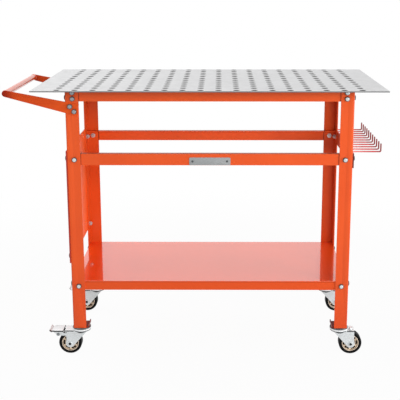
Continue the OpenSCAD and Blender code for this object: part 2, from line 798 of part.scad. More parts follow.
// Foot pedal with a flat tread, a tip that dips and turns up, and two cheeks on its pin
module pedal(end, lift) {
    tip_run = 11;
    dip_run = 6;
    dip = 2.5;
    rise = 1.5;
    tread_z = pedal_under - pin_z;
    under = [
        [tread_start - pin_u, tread_z], [pedal_out - tip_run, tread_z],
        [pedal_out - dip_run, tread_z - dip], [pedal_out, tread_z + rise]];
    upper = [for (i = [len(under) - 1 : -1 : 0]) under[i] + [0, pedal_t]];
    cheek = [
        [-ear_r, 0], [tread_start - pin_u, tread_z], [pedal_out * 0.6, tread_z], [ear_r, 0]];
    color(zinc) at_caster(left, end) translate([pin_u, 0, pin_z]) rotate([0, -lift, 0]) difference() {
        union() {
            translate([0, pedal_w / 2, 0]) rotate([90, 0, 0])
                linear_extrude(pedal_w) polygon(concat(under, upper));
            for (y = [-cheek_in, pedal_w / 2]) translate([0, y, 0]) rotate([90, 0, 0])
                linear_extrude(cheek_t) polygon(concat(
                    [cheek[1], cheek[2]], arc([0, 0], ear_r, 0, -180, 10)));
        }
        translate([0, pedal_w / 2 + cut, 0]) rotate([90, 0, 0])
            cylinder(d = pin_d + 2 * running_gap, h = pedal_w + 2 * cut, $fn = round_fn);
    }
}
module front_left_pedal() { pedal(front, 0); }
module rear_left_pedal() { pedal(rear, pedal_lift); }

// Pin through the fork's ears and the pedal's cheeks, with a head at each end
module pedal_pin(end) {
    pin_head_h = 1.5;
    half = pedal_w / 2 + pass_gap;
    color(zinc) at_caster(left, end) translate([pin_u, half, pin_z]) rotate([90, 0, 0]) {
        cylinder(d = pin_d, h = 2 * half, $fn = round_fn);
        for (z = [-pin_head_h, 2 * half]) translate([0, 0, z])
            cylinder(d = pin_d + 3, h = pin_head_h, $fn = round_fn);
    }
}
module front_left_pedal_pin() { pedal_pin(front); }
module rear_left_pedal_pin() { pedal_pin(rear); }

top_plate();
front_left_leg();
front_right_leg();
rear_left_leg();
rear_right_leg();
front_top_rail();
rear_top_rail();
left_top_rail();
right_top_rail();
front_mid_rail();
rear_mid_rail();
lower_shelf();
left_side_panel();
hook_bar();
tool_hooks();
handle_front_arm();
handle_rear_arm();
handle_grip();
name_plate();
name_plate_rivets();
foot_plates();
frame_bolts();
frame_nuts();
side_bolts();
side_nuts();
shelf_bolts();
shelf_nuts();
handle_bolts();
handle_nuts();
stem_nuts();
swivel_balls();
front_left_cup();
front_right_cup();
rear_left_cup();
rear_right_cup();
front_left_stem();
front_right_stem();
rear_left_stem();
rear_right_stem();
front_left_fork();
front_right_fork();
rear_left_fork();
rear_right_fork();
front_left_axle();
front_right_axle();
rear_left_axle();
rear_right_axle();
front_left_rim();
front_right_rim();
rear_left_rim();
rear_right_rim();
front_left_tyre();
front_right_tyre();
rear_left_tyre();
rear_right_tyre();
front_left_pedal();
rear_left_pedal();
front_left_pedal_pin();
rear_left_pedal_pin();
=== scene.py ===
# Mobile welding table: the looks of every piece, in metres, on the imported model
import math

import bmesh
import bpy
from mathutils import Matrix, Vector


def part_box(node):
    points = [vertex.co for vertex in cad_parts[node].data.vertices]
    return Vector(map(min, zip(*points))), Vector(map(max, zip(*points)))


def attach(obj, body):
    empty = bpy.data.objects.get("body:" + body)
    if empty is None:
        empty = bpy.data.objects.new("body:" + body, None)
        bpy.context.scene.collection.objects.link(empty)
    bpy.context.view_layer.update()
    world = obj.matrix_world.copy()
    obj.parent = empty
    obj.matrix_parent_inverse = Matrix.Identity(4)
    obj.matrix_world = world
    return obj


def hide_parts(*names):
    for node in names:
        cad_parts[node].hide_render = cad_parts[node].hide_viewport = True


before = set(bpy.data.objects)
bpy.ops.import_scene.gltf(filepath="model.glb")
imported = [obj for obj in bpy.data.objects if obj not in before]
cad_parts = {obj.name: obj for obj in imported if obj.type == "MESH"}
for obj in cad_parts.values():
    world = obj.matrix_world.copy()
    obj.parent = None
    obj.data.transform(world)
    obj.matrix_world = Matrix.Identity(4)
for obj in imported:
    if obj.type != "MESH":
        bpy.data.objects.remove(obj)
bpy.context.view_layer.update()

scene = bpy.context.scene
mm = 0.001
left, right, front, rear = -1, 1, -1, 1
sides, ends = (left, right), (front, rear)
corners = {"front_left": (left, front), "front_right": (right, front),
           "rear_left": (left, rear), "rear_right": (right, rear)}
print("loaded", len(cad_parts), "nodes")

# Heights and edges that several pieces share, read from the model
plateLow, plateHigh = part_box("top_plate")
legLow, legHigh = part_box("front_left_leg")
midX = (plateLow.x + plateHigh.x) / 2
legX = midX - legLow.x                # from the middle to a leg's outer side face
legY = -legLow.y                      # from the middle to a leg's front face
flange = legHigh.x - legLow.x         # width of a leg's front flange
underZ = plateLow.z
footZ = legLow.z

# Sizes that every caster shares
casterSizes = {"inset": 20 * mm, "trail": 32 * mm, "wheel": 31.75 * mm, "rim": 23.35 * mm, "half": 12.5 * mm,
               "forkIn": 14 * mm, "forkEdge": 0.5 * mm, "pedalEdge": 0.45 * mm}
axisX = legX - casterSizes["inset"]   # from the middle to a caster's swivel axis
axisY = legY - casterSizes["inset"]
wheelX = axisX + casterSizes["trail"]  # from the middle to a wheel's axle


# Node trees

class Wire:  # a socket that maths can be written with
    def __init__(self, graph, socket):
        self.graph = graph
        self.socket = socket

    def __add__(self, other):
        return self.graph.maths("ADD", self, other)

    def __radd__(self, other):
        return self.graph.maths("ADD", other, self)

    def __sub__(self, other):
        return self.graph.maths("SUBTRACT", self, other)

    def __rsub__(self, other):
        return self.graph.maths("SUBTRACT", other, self)

    def __mul__(self, other):
        return self.graph.maths("MULTIPLY", self, other)

    def __rmul__(self, other):
        return self.graph.maths("MULTIPLY", other, self)

    def __truediv__(self, other):
        return self.graph.maths("DIVIDE", self, other)

    def __pow__(self, other):
        return self.graph.maths("POWER", self, other)

    def __neg__(self):
        return self.graph.maths("MULTIPLY", self, -1)

    def __abs__(self):
        return self.graph.maths("ABSOLUTE", self)

    def most(self, other):  # the larger of the two
        return self.graph.maths("MAXIMUM", self, other)

    def wrapped(self, half):  # brought between -half and half by whole steps
        return self.graph.maths("WRAP", self, half, -half)

    def above(self, edge, soft):  # 0 below the edge, 1 above it, with a soft step
        return self.graph.node("ShaderNodeMapRange", {"interpolation_type": "SMOOTHSTEP"},
                               {"Value": self, "From Min": edge - soft / 2, "From Max": edge + soft / 2})

    def below(self, edge, soft):
        return 1.0 - self.above(edge, soft)

    def near(self, middle, half, soft):  # 1 within half of the middle, with soft steps
        return abs(self - middle).below(half, soft)


class Graph:  # a shader tree or a geometry tree
    def __init__(self, tree):
        self.tree = tree

    def pick(self, sockets, name):
        return next(socket for socket in sockets if socket.name == name and socket.enabled)

    def node(self, kind, settings=None, inputs=None, out=None):
        made = self.tree.nodes.new(kind)
        for key, value in (settings or {}).items():
            setattr(made, key, value)
        given = enumerate(inputs) if isinstance(inputs, list) else (inputs or {}).items()
        for key, value in given:
            socket = made.inputs[key] if isinstance(key, int) else self.pick(made.inputs, key)
            for one in (value if isinstance(value, list) else [value]):
                if isinstance(one, Wire):
                    self.tree.links.new(one.socket, socket)
                else:
                    socket.default_value = one
        if isinstance(out, tuple):
            return [Wire(self, self.pick(made.outputs, name)) for name in out]
        if out:
            return Wire(self, self.pick(made.outputs, out))
        return Wire(self, next(socket for socket in made.outputs if socket.enabled)) if made.outputs else None

    def maths(self, operation, *values):
        return self.node("ShaderNodeMath", {"operation": operation}, list(values))

    def vector(self, x=0.0, y=0.0, z=0.0):
        return self.node("ShaderNodeCombineXYZ", inputs=[x, y, z])

    def axes(self, vector):
        return self.node("ShaderNodeSeparateXYZ", inputs={"Vector": vector}, out=("X", "Y", "Z"))

    # For shaders

    def place(self):
        return self.node("ShaderNodeTexCoord", out="Object")

    def noise(self, vector, scale, detail=2.0, roughness=0.5):
        return self.node("ShaderNodeTexNoise", inputs={
            "Vector": vector, "Scale": scale, "Detail": detail, "Roughness": roughness}, out="Fac")

    def stretched(self, vector, scale):
        return self.node("ShaderNodeMapping", inputs={"Vector": vector, "Scale": scale})

    def mix(self, factor, a, b):
        return self.node("ShaderNodeMix", {"data_type": "RGBA"}, {"Factor": factor, "A": a, "B": b}, "Result")

    def shaded(self, colour, shade):  # a colour made lighter or darker
        return self.node("ShaderNodeVectorMath", {"operation": "SCALE"}, {"Vector": colour, "Scale": shade})

    def bump(self, height, strength, distance):
        return self.node("ShaderNodeBump", inputs={
            "Strength": strength, "Distance": distance, "Height": height})

    # For geometry

    def placed(self, geometry, **how):
        return self.node("GeometryNodeTransform", inputs={"Geometry": geometry, **how})

    def tube(self, steps, radius, depth):
        return self.node("GeometryNodeMeshCylinder", inputs={
            "Vertices": steps, "Radius": radius, "Depth": depth})

    def cone(self, steps, top, bottom, depth):
        return self.node("GeometryNodeMeshCone", inputs={
            "Vertices": steps, "Radius Top": top, "Radius Bottom": bottom, "Depth": depth})

    def ball(self, steps, rings, radius):
        return self.node("GeometryNodeMeshUVSphere", inputs={
            "Segments": steps, "Rings": rings, "Radius": radius})

    def together(self, operation, *meshes):  # what the meshes have together, or in common
        return self.node("GeometryNodeMeshBoolean", {"operation": operation, "solver": "EXACT"},
                         {"Mesh": list(meshes)})

    def cut(self, mesh, cutter, solver="EXACT"):
        return self.node("GeometryNodeMeshBoolean", {"operation": "DIFFERENCE", "solver": solver},
                         {"Mesh 1": mesh, "Mesh 2": cutter})

    def joined(self, *parts):
        return self.node("GeometryNodeJoinGeometry", inputs={"Geometry": list(parts)})

    def copies(self, spots, instance, **how):
        return self.node("GeometryNodeInstanceOnPoints", inputs={
            "Points": spots, "Instance": instance, **how})

    def real(self, geometry):
        return self.node("GeometryNodeRealizeInstances", inputs={"Geometry": geometry})

    def smooth(self, geometry):
        return self.node("GeometryNodeSetShadeSmooth", inputs={"Geometry": geometry})

    def markedLit(self, geometry, share):  # says how much of the bolt finish's painted highlight falls there, against its painted shade
        return self.node("GeometryNodeStoreNamedAttribute", {"data_type": "FLOAT", "domain": "POINT"}, {
            "Geometry": geometry, "Name": "crown", "Value": share})


def tone(r, g, b):  # a colour as a screen shows it, 0 to 255
    def linear(c):
        c = c / 255
        return c / 12.92 if c <= 0.04045 else ((c + 0.055) / 1.055) ** 2.4
    return (linear(r), linear(g), linear(b), 1.0)


def emptied(owner):  # the cleared node tree of a material or the world
    owner.use_nodes = True
    owner.node_tree.nodes.clear()
    return Graph(owner.node_tree)


def finish(name, fixed, varied):  # fixed values sit on the shader's sockets, varied ones are wired
    material = bpy.data.materials.new(name)
    graph = emptied(material)
    shader = graph.node("ShaderNodeBsdfPrincipled", inputs={**fixed, **varied(graph)})
    graph.node("ShaderNodeOutputMaterial", inputs={"Surface": shader})
    return material


# Orange powder coat, and what differs from it on some pieces

orangePaint = {"main": tone(222, 84, 30), "deep": tone(206, 68, 24), "cloud": 7.0, "grain": 620.0,
               "peel": 0.05, "roughness": 0.36, "specular": 0.3, "lowZ": 240 * mm, "lowSoft": 360 * mm}


def orangeVaried(graph, colour=None):  # deeper toward the feet, unless it is given a colour
    at = graph.place()
    if colour is None:
        cloud = graph.noise(at, orangePaint["cloud"], 3.0)
        low = graph.axes(at)[2].below(orangePaint["lowZ"], orangePaint["lowSoft"])
        colour = graph.mix(cloud.above(0.55, 0.5) * 0.35 + low * 0.5,
                           orangePaint["main"], orangePaint["deep"])
    peel = graph.noise(at, orangePaint["grain"], 2.0, 0.6)
    return {"Base Color": colour,
            "Roughness": orangePaint["roughness"] + (graph.noise(at, 45.0, 4.0) - 0.5) * 0.1,
            "Normal": graph.bump(peel, orangePaint["peel"], 0.4 * mm)}


def shadedEnds(graph, made, node, shade):  # painted shade on a sheet's cut ends
    ends = abs(graph.axes(graph.place())[1]).above(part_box(node)[1].y - 0.7 * mm, 0.5 * mm)
    made["Base Color"] = graph.mix(ends, made["Base Color"], shade)
    return made


railPaint = {"seamShadow": tone(84, 18, 8), "seamX": legX - flange - 0.5 * mm, "seamHalf": 0.9 * mm}


def railVaried(graph):  # painted shadow in the seam along each leg's flange, cast there by the flange's edge
    made = orangeVaried(graph)
    across = abs(graph.axes(graph.place())[0] - midX)
    clear = abs(across - railPaint["seamX"]).above(railPaint["seamHalf"], 1.2 * mm)
    made["Base Color"] = graph.mix(clear, railPaint["seamShadow"], made["Base Color"])
    return made


# The panel's main tone is painted light, brighter than the legs' orange; its end tone is painted shade
panelPaint = {"main": tone(250, 104, 40), "worn": tone(232, 84, 28), "end": tone(164, 52, 44), "cloud": 9.0}


def panelVaried(graph):  # painted light: brighter than on the legs, for the light on the panel's inner face; painted shade on its cut ends
    cloud = graph.noise(graph.place(), panelPaint["cloud"], 3.0)
    made = orangeVaried(graph, graph.mix(cloud * 0.4, panelPaint["main"], panelPaint["worn"]))
    return shadedEnds(graph, made, "left_side_panel", panelPaint["end"])


# The bar's end tone is painted shade on its cut ends
barPaint = {"end": tone(104, 26, 16)}


def barVaried(graph):
    return shadedEnds(graph, orangeVaried(graph), "hook_bar", barPaint["end"])


footPaint = {"main": tone(150, 38, 18), "deepShade": tone(104, 22, 12), "cloud": 120.0, "specular": 0.2}


def footVaried(graph):  # painted shade: the foot plates are dark orange, as orange in shadow, mottled at random with a deeper tone
    cloud = graph.noise(graph.place(), footPaint["cloud"], 3.0)
    return orangeVaried(graph, graph.mix(cloud.above(0.5, 0.5), footPaint["main"], footPaint["deepShade"]))


# The deep tone toward the grip is painted shade
armPaint = {"deep": tone(146, 34, 12), "streak": tone(176, 52, 14), "deepFrom": 60 * mm, "deepSoft": 130 * mm,
            "farFrom": 140 * mm, "farSoft": 40 * mm, "streaks": (14.0, 60.0, 160.0), "specular": 0.12}


def armVaried(graph):  # painted shade: deeper toward the hand grip, where less light falls, with faint drawn streaks
    made = orangeVaried(graph)
    at = graph.place()
    out = midX - legX - graph.axes(at)[0]
    streak = graph.noise(graph.stretched(at, armPaint["streaks"]), 1.0, 3.0)
    far = out.above(armPaint["farFrom"], armPaint["farSoft"]) * 0.75
    deep = graph.mix(far + out.above(armPaint["deepFrom"], armPaint["deepSoft"]) * 0.25,
                     made["Base Color"], armPaint["deep"])
    made["Base Color"] = graph.mix(streak.above(0.58, 0.2) * 0.25, deep, armPaint["streak"])
    return made


shelfPaint = {"main": tone(255, 86, 22), "lip": tone(216, 80, 34), "fold": tone(140, 36, 10), "cloud": 5.0,
              "grain": 480.0, "roughness": 0.3, "specular": 0.12, "sheen": 0.28, "gloss": 2.62,
              "topZ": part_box("lower_shelf")[1].z, "foldDown": 3 * mm}


def shelfVaried(graph):  # a glossy sheet with duller lips; the top is painted brighter than the frame's orange, as painted light making up for the shade under the work plate, and a dark band below the fold is painted shade
    at = graph.place()
    z = graph.axes(at)[2]
    top = z.above(shelfPaint["topZ"] - 0.6 * mm, 0.6 * mm)
    # painted shade: a dark band just below the fold
    fold = z.near(shelfPaint["topZ"] - shelfPaint["foldDown"], 1.0 * mm, 1.4 * mm)
    cloud = graph.noise(at, shelfPaint["cloud"], 3.0)
    lip = graph.mix(fold * 0.5, shelfPaint["lip"], shelfPaint["fold"])
    sheet = graph.mix(cloud.above(0.5, 0.6) * 0.15, shelfPaint["main"], orangePaint["deep"])
    return {"Base Color": graph.mix(top, lip, sheet),
            "Roughness": shelfPaint["roughness"] + (graph.noise(at, 60.0, 3.0) - 0.5) * 0.08,
            "Metallic": top * shelfPaint["sheen"],
            "Coat Weight": top,
            "Normal": graph.bump(graph.noise(at, shelfPaint["grain"]), 0.03, 0.4 * mm)}


matt = {"Specular IOR Level": orangePaint["specular"]}
shelfGloss = {"Specular IOR Level": shelfPaint["specular"], "Coat Roughness": 0.05,
              "Coat IOR": shelfPaint["gloss"]}
gripGloss = {**shelfGloss, "Coat Weight": 1.0, "Coat Roughness": 0.12}
orangeCoat = finish("orange_powder_coat", matt, orangeVaried)
railCoat = finish("orange_rail_coat", matt, railVaried)
panelCoat = finish("orange_panel_coat", matt, panelVaried)
barCoat = finish("orange_bar_coat", matt, barVaried)
footCoat = finish("orange_foot_coat", {"Specular IOR Level": footPaint["specular"]}, footVaried)
armCoat = finish("orange_arm_coat", {"Specular IOR Level": armPaint["specular"]}, armVaried)
shelfCoat = finish("orange_shelf_coat", shelfGloss, shelfVaried)
glossCoat = finish("orange_gloss_coat", gripGloss, orangeVaried)

# Steel of the work plate, with painted shade on its hole walls and underside and in a dark ring round each
# hole

plateSizes = {"across": 18, "deep": 12, "pitchX": 46 * mm, "pitchY": 38.5 * mm, "hole": 13 * mm,
              "chamfer": 0.25 * mm, "edge": 0.4 * mm, "holeShade": 2.1 * mm}
plateSteel = {"sheet": tone(213, 213, 214), "edge": tone(108, 109, 110), "shadeDark": tone(8, 8, 9),
              "spangle": 75.0, "grain": (40.0, 900.0, 40.0), "wear": 9.0, "roughness": 0.42, "metallic": 0.6,
              "specular": 0.3}


def plateVaried(graph):
    at = graph.place()
    x, y, z = graph.axes(at)
    onTop = z.above(plateHigh.z - 0.08 * mm, 0.08 * mm)
    overX = abs(x - midX) - (plateHigh.x - plateLow.x) / 2
    overY = abs(y) - plateHigh.y
    outside = overX.most(overY).above(-1.2 * mm, 0.6 * mm)
    # painted shade: faces off the top are nearly black, save the outer edges, which keep a grey of their own
    side = graph.mix(outside, plateSteel["shadeDark"], plateSteel["edge"])
    halfX, halfY = plateSizes["pitchX"] / 2, plateSizes["pitchY"] / 2
    fromX = (x - (midX + halfX)).wrapped(halfX)
    fromY = (y - halfY).wrapped(halfY)
    ring = (fromX * fromX + fromY * fromY) ** 0.5
    field = abs(x - midX).below(plateSizes["across"] * halfX, 1 * mm)
    # painted shade: a dark ring round each hole widens the hole's shade
    holeShade = ring.below(plateSizes["hole"] / 2 + plateSizes["holeShade"], 0.5 * mm) * field
    flake = graph.node("ShaderNodeTexVoronoi", {"feature": "F1"},
                       {"Vector": at, "Scale": plateSteel["spangle"]}, "Color")
    grey = graph.node("ShaderNodeSeparateColor", inputs={"Color": flake}, out="Red")
    grain = graph.noise(graph.stretched(at, plateSteel["grain"]), 1.0, 3.0)
    worn = graph.noise(at, plateSteel["wear"], 5.0, 0.6)
    sheet = graph.shaded(plateSteel["sheet"][:3],
                         0.89 + grey * 0.1 + (grain - 0.5) * 0.16 + (worn - 0.5) * 0.14)
    top = graph.mix(holeShade * 0.93, sheet, plateSteel["shadeDark"])
    return {"Base Color": graph.mix(onTop, side, top),
            "Metallic": onTop * (1 - holeShade) * plateSteel["metallic"],
            "Roughness": plateSteel["roughness"] + (grain - 0.5) * 0.2 + grey * 0.06,
            "Normal": graph.bump(grain, 0.08, 0.1 * mm)}


galvanised = finish("galvanised_sheet", {"Specular IOR Level": plateSteel["specular"]}, plateVaried)


# Small metal pieces

def metal(name, colour, roughness, metallic, brushed=(300.0, 300.0, 300.0), spread=0.12):
    def varied(graph):
        at = graph.place()
        grain = graph.noise(graph.stretched(at, brushed), 1.0, 3.0)
        cloud = graph.noise(at, 60.0, 3.0)
        return {"Base Color": graph.shaded(colour[:3], 1.0 + (grain - 0.5) * spread + (cloud - 0.5) * spread),
                "Roughness": roughness + (cloud - 0.5) * 0.12,
                "Normal": graph.bump(grain, 0.06, 0.1 * mm)}
    return finish(name, {"Metallic": metallic}, varied)


bareTag = metal("bare_aluminium", tone(152, 155, 156), 0.5, 0.3, (40.0, 60.0, 1500.0), 0.2)
# Painted shade: this dark finish is used only on the ring that stands for the shadow under each cup
shadeRingDark = metal("shade_ring_dark", tone(74, 77, 78), 0.4, 0.5)
pinSteel = metal("pin_steel", tone(128, 131, 133), 0.4, 0.5)

# The first tone is a painted highlight on the crowns, the second painted shade on the upper bolts on the
# left, the third painted shade and dark reflection on the sides
boltTones = {"crown": tone(212, 216, 217), "shadedLeft": tone(156, 158, 163), "side": tone(80, 84, 86),
             "shadedLeftZ": 620 * mm, "cloud": 140.0, "grain": 700.0, "roughness": 0.3, "metallic": 0.6}


def boltVaried(graph):  # painted highlight on the crowns and painted shade with dark reflection on the sides, told apart by what the bolt tree writes on them; painted shade on the upper bolts on the left
    at = graph.place()
    x, y, z = graph.axes(at)
    cloud = graph.noise(at, boltTones["cloud"], 3.0)
    litShare = graph.node("ShaderNodeAttribute", {"attribute_name": "crown"}, out="Fac")
    shadedLeft = z.above(boltTones["shadedLeftZ"], 10 * mm) * (x - midX).below(0, 10 * mm)
    crown = graph.mix(shadedLeft, boltTones["crown"], boltTones["shadedLeft"])
    return {"Base Color": graph.mix(litShare * (0.8 + cloud * 0.3), boltTones["side"], crown),
            "Roughness": boltTones["roughness"] + (cloud - 0.5) * 0.2,
            "Normal": graph.bump(graph.noise(at, boltTones["grain"]), 0.05, 0.1 * mm)}


boltSteel = finish("bolt_steel", {"Metallic": boltTones["metallic"]}, boltVaried)

zincTones = {"main": tone(212, 216, 217), "litPale": tone(238, 240, 241), "blotchAndShade": tone(34, 32, 32),
             "grain": 300.0, "cloud": 60.0, "blotch": 170.0, "roughness": 0.36, "metallic": 0.45}
pedalLow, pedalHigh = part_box("front_left_pedal")

# Where the casters' painted shade lines and the pivot dot lie: u goes out from the swivel axis and z up from
# the floor
zincMarks = {"deckU": 21 * mm, "deckZ": 69.6 * mm, "deckHalf": 2.1 * mm, "creaseU": 47.5 * mm,
             "creaseHalf": 2.7 * mm, "tipU": 81.5 * mm, "bluntU": 77 * mm, "bluntIn": 6 * mm,
             "rolledIn": 1.7 * mm, "pivotU": 42.3 * mm, "pivotZ": 64.2 * mm, "insideU": 4 * mm,
             "insideZ": 69 * mm, "cupU": 26 * mm, "cupTopZ": 75.9 * mm, "cupRingZ": 71.2 * mm,
             "treadHalf": (pedalHigh.y - pedalLow.y) / 2}


def zincVaried(graph):  # painted light: pale on faces turned up and on the cup's ring; painted shade: dark lines along the edges of decks and treads, at the tread's tip, in the crease, inside the fork and on the cup's top; a dark dot at the brake's pivot and dark blotches at random
    at = graph.place()
    x, y, z = graph.axes(at)
    along = abs(x - midX) - axisX
    beside = abs(y) - axisY
    outer = beside - zincMarks["treadHalf"]
    facing = graph.axes(graph.node("ShaderNodeNewGeometry", out="Normal"))[2]
    up = facing.above(0.6, 0.4)
    upright = abs(facing).below(0.5, 0.5)
    braked = (x - midX).below(0, 1 * mm)
    onDeck = along.above(zincMarks["deckU"], 1 * mm)
    # painted shade: along the deck's front edge, at the tread's tip and outer rims, in the crease, inside the
    # fork and on the cup's top
    deckShade = upright * z.near(zincMarks["deckZ"], zincMarks["deckHalf"], 0.8 * mm) * onDeck
    tip = along.above(zincMarks["tipU"], 3 * mm) * (1 - up)
    rolledShade = up * outer.above(-zincMarks["rolledIn"], 0.6 * mm) * onDeck
    bluntShade = up * outer.above(-zincMarks["bluntIn"], 2 * mm) * along.above(zincMarks["bluntU"], 3 * mm)
    insideShade = abs(beside).below(casterSizes["forkIn"] + 0.5 * mm, 0.3 * mm) \
        * z.below(zincMarks["insideZ"], 0.5 * mm) * along.above(zincMarks["insideU"], 4 * mm) * upright
    creaseShade = along.near(zincMarks["creaseU"], zincMarks["creaseHalf"], 0.5 * mm) * up * braked
    fromPivot = (along - zincMarks["pivotU"]) ** 2 + (z - zincMarks["pivotZ"]) ** 2
    pivot = fromPivot.below(5 * mm ** 2, 3 * mm ** 2) * upright * braked
    nearCup = along.below(zincMarks["cupU"], 1 * mm)
    cupTopShade = z.above(zincMarks["cupTopZ"], 1.0 * mm) * nearCup
    cupRingLight = z.above(zincMarks["cupRingZ"], 0.3 * mm) * nearCup
    edges = (deckShade + tip * 0.8 + bluntShade * 0.8).most(insideShade * 0.55 + creaseShade * 0.95 + rolledShade * 0.9)
    marks = edges.most((pivot * 0.7).most(cupTopShade * 0.9))
    grain = graph.noise(at, zincTones["grain"], 3.0)
    cloud = graph.noise(at, zincTones["cloud"], 3.0)
    blotch = graph.noise(at, zincTones["blotch"], 4.0, 0.7).above(0.6, 0.2)
    # painted light: paler on faces turned up and on the cup's ring
    sheet = graph.mix(up.most(cupRingLight), zincTones["main"], zincTones["litPale"])
    mottled = graph.mix(blotch * 0.12, sheet, zincTones["blotchAndShade"])
    base = graph.shaded(mottled, 1.0 + (grain - 0.5) * 0.14 + (cloud - 0.5) * 0.14)
    return {"Base Color": graph.mix(marks, base, zincTones["blotchAndShade"]),
            "Roughness": zincTones["roughness"] + (cloud - 0.5) * 0.14,
            "Normal": graph.bump(grain, 0.06, 0.1 * mm)}


zincPlate = finish("zinc_plate", {"Metallic": zincTones["metallic"]}, zincVaried)


def fromAxle(x, z):  # distance from the axle of the wheel that is nearest
    along = abs(x - midX) - wheelX
    high = z - casterSizes["wheel"]
    return (along * along + high * high) ** 0.5


axleTones = {"worn": tone(176, 182, 184), "socket": tone(46, 50, 52), "socketWide": 3.9 * mm, "cloud": 200.0,
             "grain": 600.0, "roughness": 0.34}


def axleVaried(graph):  # zinc with a dark socket
    at = graph.place()
    x, y, z = graph.axes(at)
    cloud = graph.noise(at, axleTones["cloud"], 3.0)
    sheet = graph.mix(cloud * 0.4, zincTones["main"], axleTones["worn"])
    onHead = fromAxle(x, z).above(axleTones["socketWide"], 0.4 * mm)
    return {"Base Color": graph.mix(onHead, axleTones["socket"], sheet),
            "Roughness": axleTones["roughness"] + (cloud - 0.5) * 0.15,
            "Normal": graph.bump(graph.noise(at, axleTones["grain"], 3.0), 0.05, 0.1 * mm)}


axleSteel = finish("axle_steel", {"Metallic": zincTones["metallic"]}, axleVaried)

# The slot tone is painted shade in the slots
rimTones = {"lip": tone(250, 232, 210), "dish": tone(240, 216, 186), "hub": tone(150, 150, 150),
            "slot": tone(14, 9, 6), "groove": tone(128, 98, 70), "hubOut": 9.6 * mm, "lipIn": 20.6 * mm,
            "lipGroove": 21.1 * mm, "dishGroove": 13.3 * mm, "slotIn": 13.2 * mm, "slotOut": 20.8 * mm,
            "slotDeep": 5.6 * mm, "cloud": 90.0, "grain": 420.0, "roughness": 0.38, "metallic": 0.15}


def bronzeVaried(graph):  # a pale lip, a darker dish and a grey hub, by the distance from the axle, with painted shade in the slots
    at = graph.place()
    x, y, z = graph.axes(at)
    out = fromAxle(x, z)
    deep = abs(abs(y) - axisY)
    cloud = graph.noise(at, rimTones["cloud"], 4.0)
    dish = graph.mix(out.above(rimTones["lipIn"], 0.8 * mm), rimTones["dish"], rimTones["lip"])
    grooves = (out.near(rimTones["lipGroove"], 0.5 * mm, 0.3 * mm) * 0.8).most(
        out.near(rimTones["dishGroove"], 1.3 * mm, 0.5 * mm))
    outer = graph.mix(out.above(rimTones["hubOut"], 0.6 * mm), rimTones["hub"],
                      graph.mix(grooves, dish, rimTones["groove"]))
    worn = graph.mix((cloud - 0.5) * 0.4 + 0.07, outer, rimTones["slot"])
    # painted shade: the slots' walls and the disc inside them are nearly black
    slots = out.above(rimTones["slotIn"], 0.6 * mm) * out.below(rimTones["slotOut"], 0.6 * mm) \
        * deep.below(rimTones["slotDeep"], 0.8 * mm)
    return {"Base Color": graph.mix(slots, worn, rimTones["slot"]),
            "Roughness": rimTones["roughness"] + (cloud - 0.5) * 0.12,
            "Normal": graph.bump(graph.noise(at, rimTones["grain"], 3.0), 0.05, 0.1 * mm)}


bronze = finish("bronze_rim", {"Metallic": rimTones["metallic"]}, bronzeVaried)

# Rubber and lacquer

rubberPaint = {"main": tone(6, 6, 7), "dust": tone(22, 22, 23), "cloud": 35.0, "grain": 900.0,
               "roughness": 0.5, "specular": 0.1}


def rubberVaried(graph):
    at = graph.place()
    cloud = graph.noise(at, rubberPaint["cloud"], 4.0, 0.6)
    grain = graph.noise(at, rubberPaint["grain"])
    return {"Base Color": graph.mix(cloud.above(0.62, 0.3) * 0.6, rubberPaint["main"], rubberPaint["dust"]),
            "Roughness": rubberPaint["roughness"] + (cloud - 0.5) * 0.25,
            "Normal": graph.bump(grain, 0.12, 0.2 * mm)}


rubber = finish("tyre_rubber", {"Specular IOR Level": rubberPaint["specular"]}, rubberVaried)

lacquerPaint = {"litPale": tone(226, 128, 126), "main": tone(196, 62, 62), "deep": tone(120, 22, 24),
                "mainFrom": 30 * mm, "deepFrom": 68 * mm, "cloud": 40.0, "grain": 500.0, "roughness": 0.25,
                "coat": 0.6}


def lacquerVaried(graph):  # painted highlight: pale at a hook's root, deep at its tip
    at = graph.place()
    cloud = graph.noise(at, lacquerPaint["cloud"], 3.0)
    reach = graph.axes(at)[0] - (midX + legX) + (cloud - 0.5) * 12 * mm
    atRoot = graph.mix(reach.above(lacquerPaint["mainFrom"], 40 * mm),
                       lacquerPaint["litPale"], lacquerPaint["main"])
    colour = graph.mix(reach.above(lacquerPaint["deepFrom"], 30 * mm), atRoot, lacquerPaint["deep"])
    return {"Base Color": colour,
            "Roughness": lacquerPaint["roughness"] + (cloud - 0.5) * 0.1,
            "Normal": graph.bump(graph.noise(at, lacquerPaint["grain"]), 0.05, 0.2 * mm)}


lacquer = finish("red_lacquer", {"Coat Weight": lacquerPaint["coat"], "Coat Roughness": 0.08}, lacquerVaried)
print("finishes made")


# Making pieces

def newPiece(name, mesh, body, material, replaced=()):
    if name in bpy.data.objects:
        raise ValueError(name + " is used twice")
    piece = bpy.data.objects.new(name, mesh)
    scene.collection.objects.link(piece)
    if not len(mesh.materials):
        mesh.materials.append(material)
    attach(piece, body)
    if replaced:
        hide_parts(*replaced)


def bakeModifiers(name, mesh, addModifiers):  # runs modifiers on a mesh and returns a plain one
    holder = bpy.data.objects.new(name + "_work", mesh)
    scene.collection.objects.link(holder)
    addModifiers(holder)
    bpy.context.view_layer.update()
    depsgraph = bpy.context.evaluated_depsgraph_get()
    done = bpy.data.meshes.new_from_object(holder.evaluated_get(depsgraph), depsgraph=depsgraph)
    done.name = name
    holder.modifiers.clear()
    bpy.data.objects.remove(holder)
    return done


def meshOf(name, work):  # ends the work on a bmesh
    mesh = bpy.data.meshes.new(name)
    work.to_mesh(mesh)
    work.free()
    return mesh


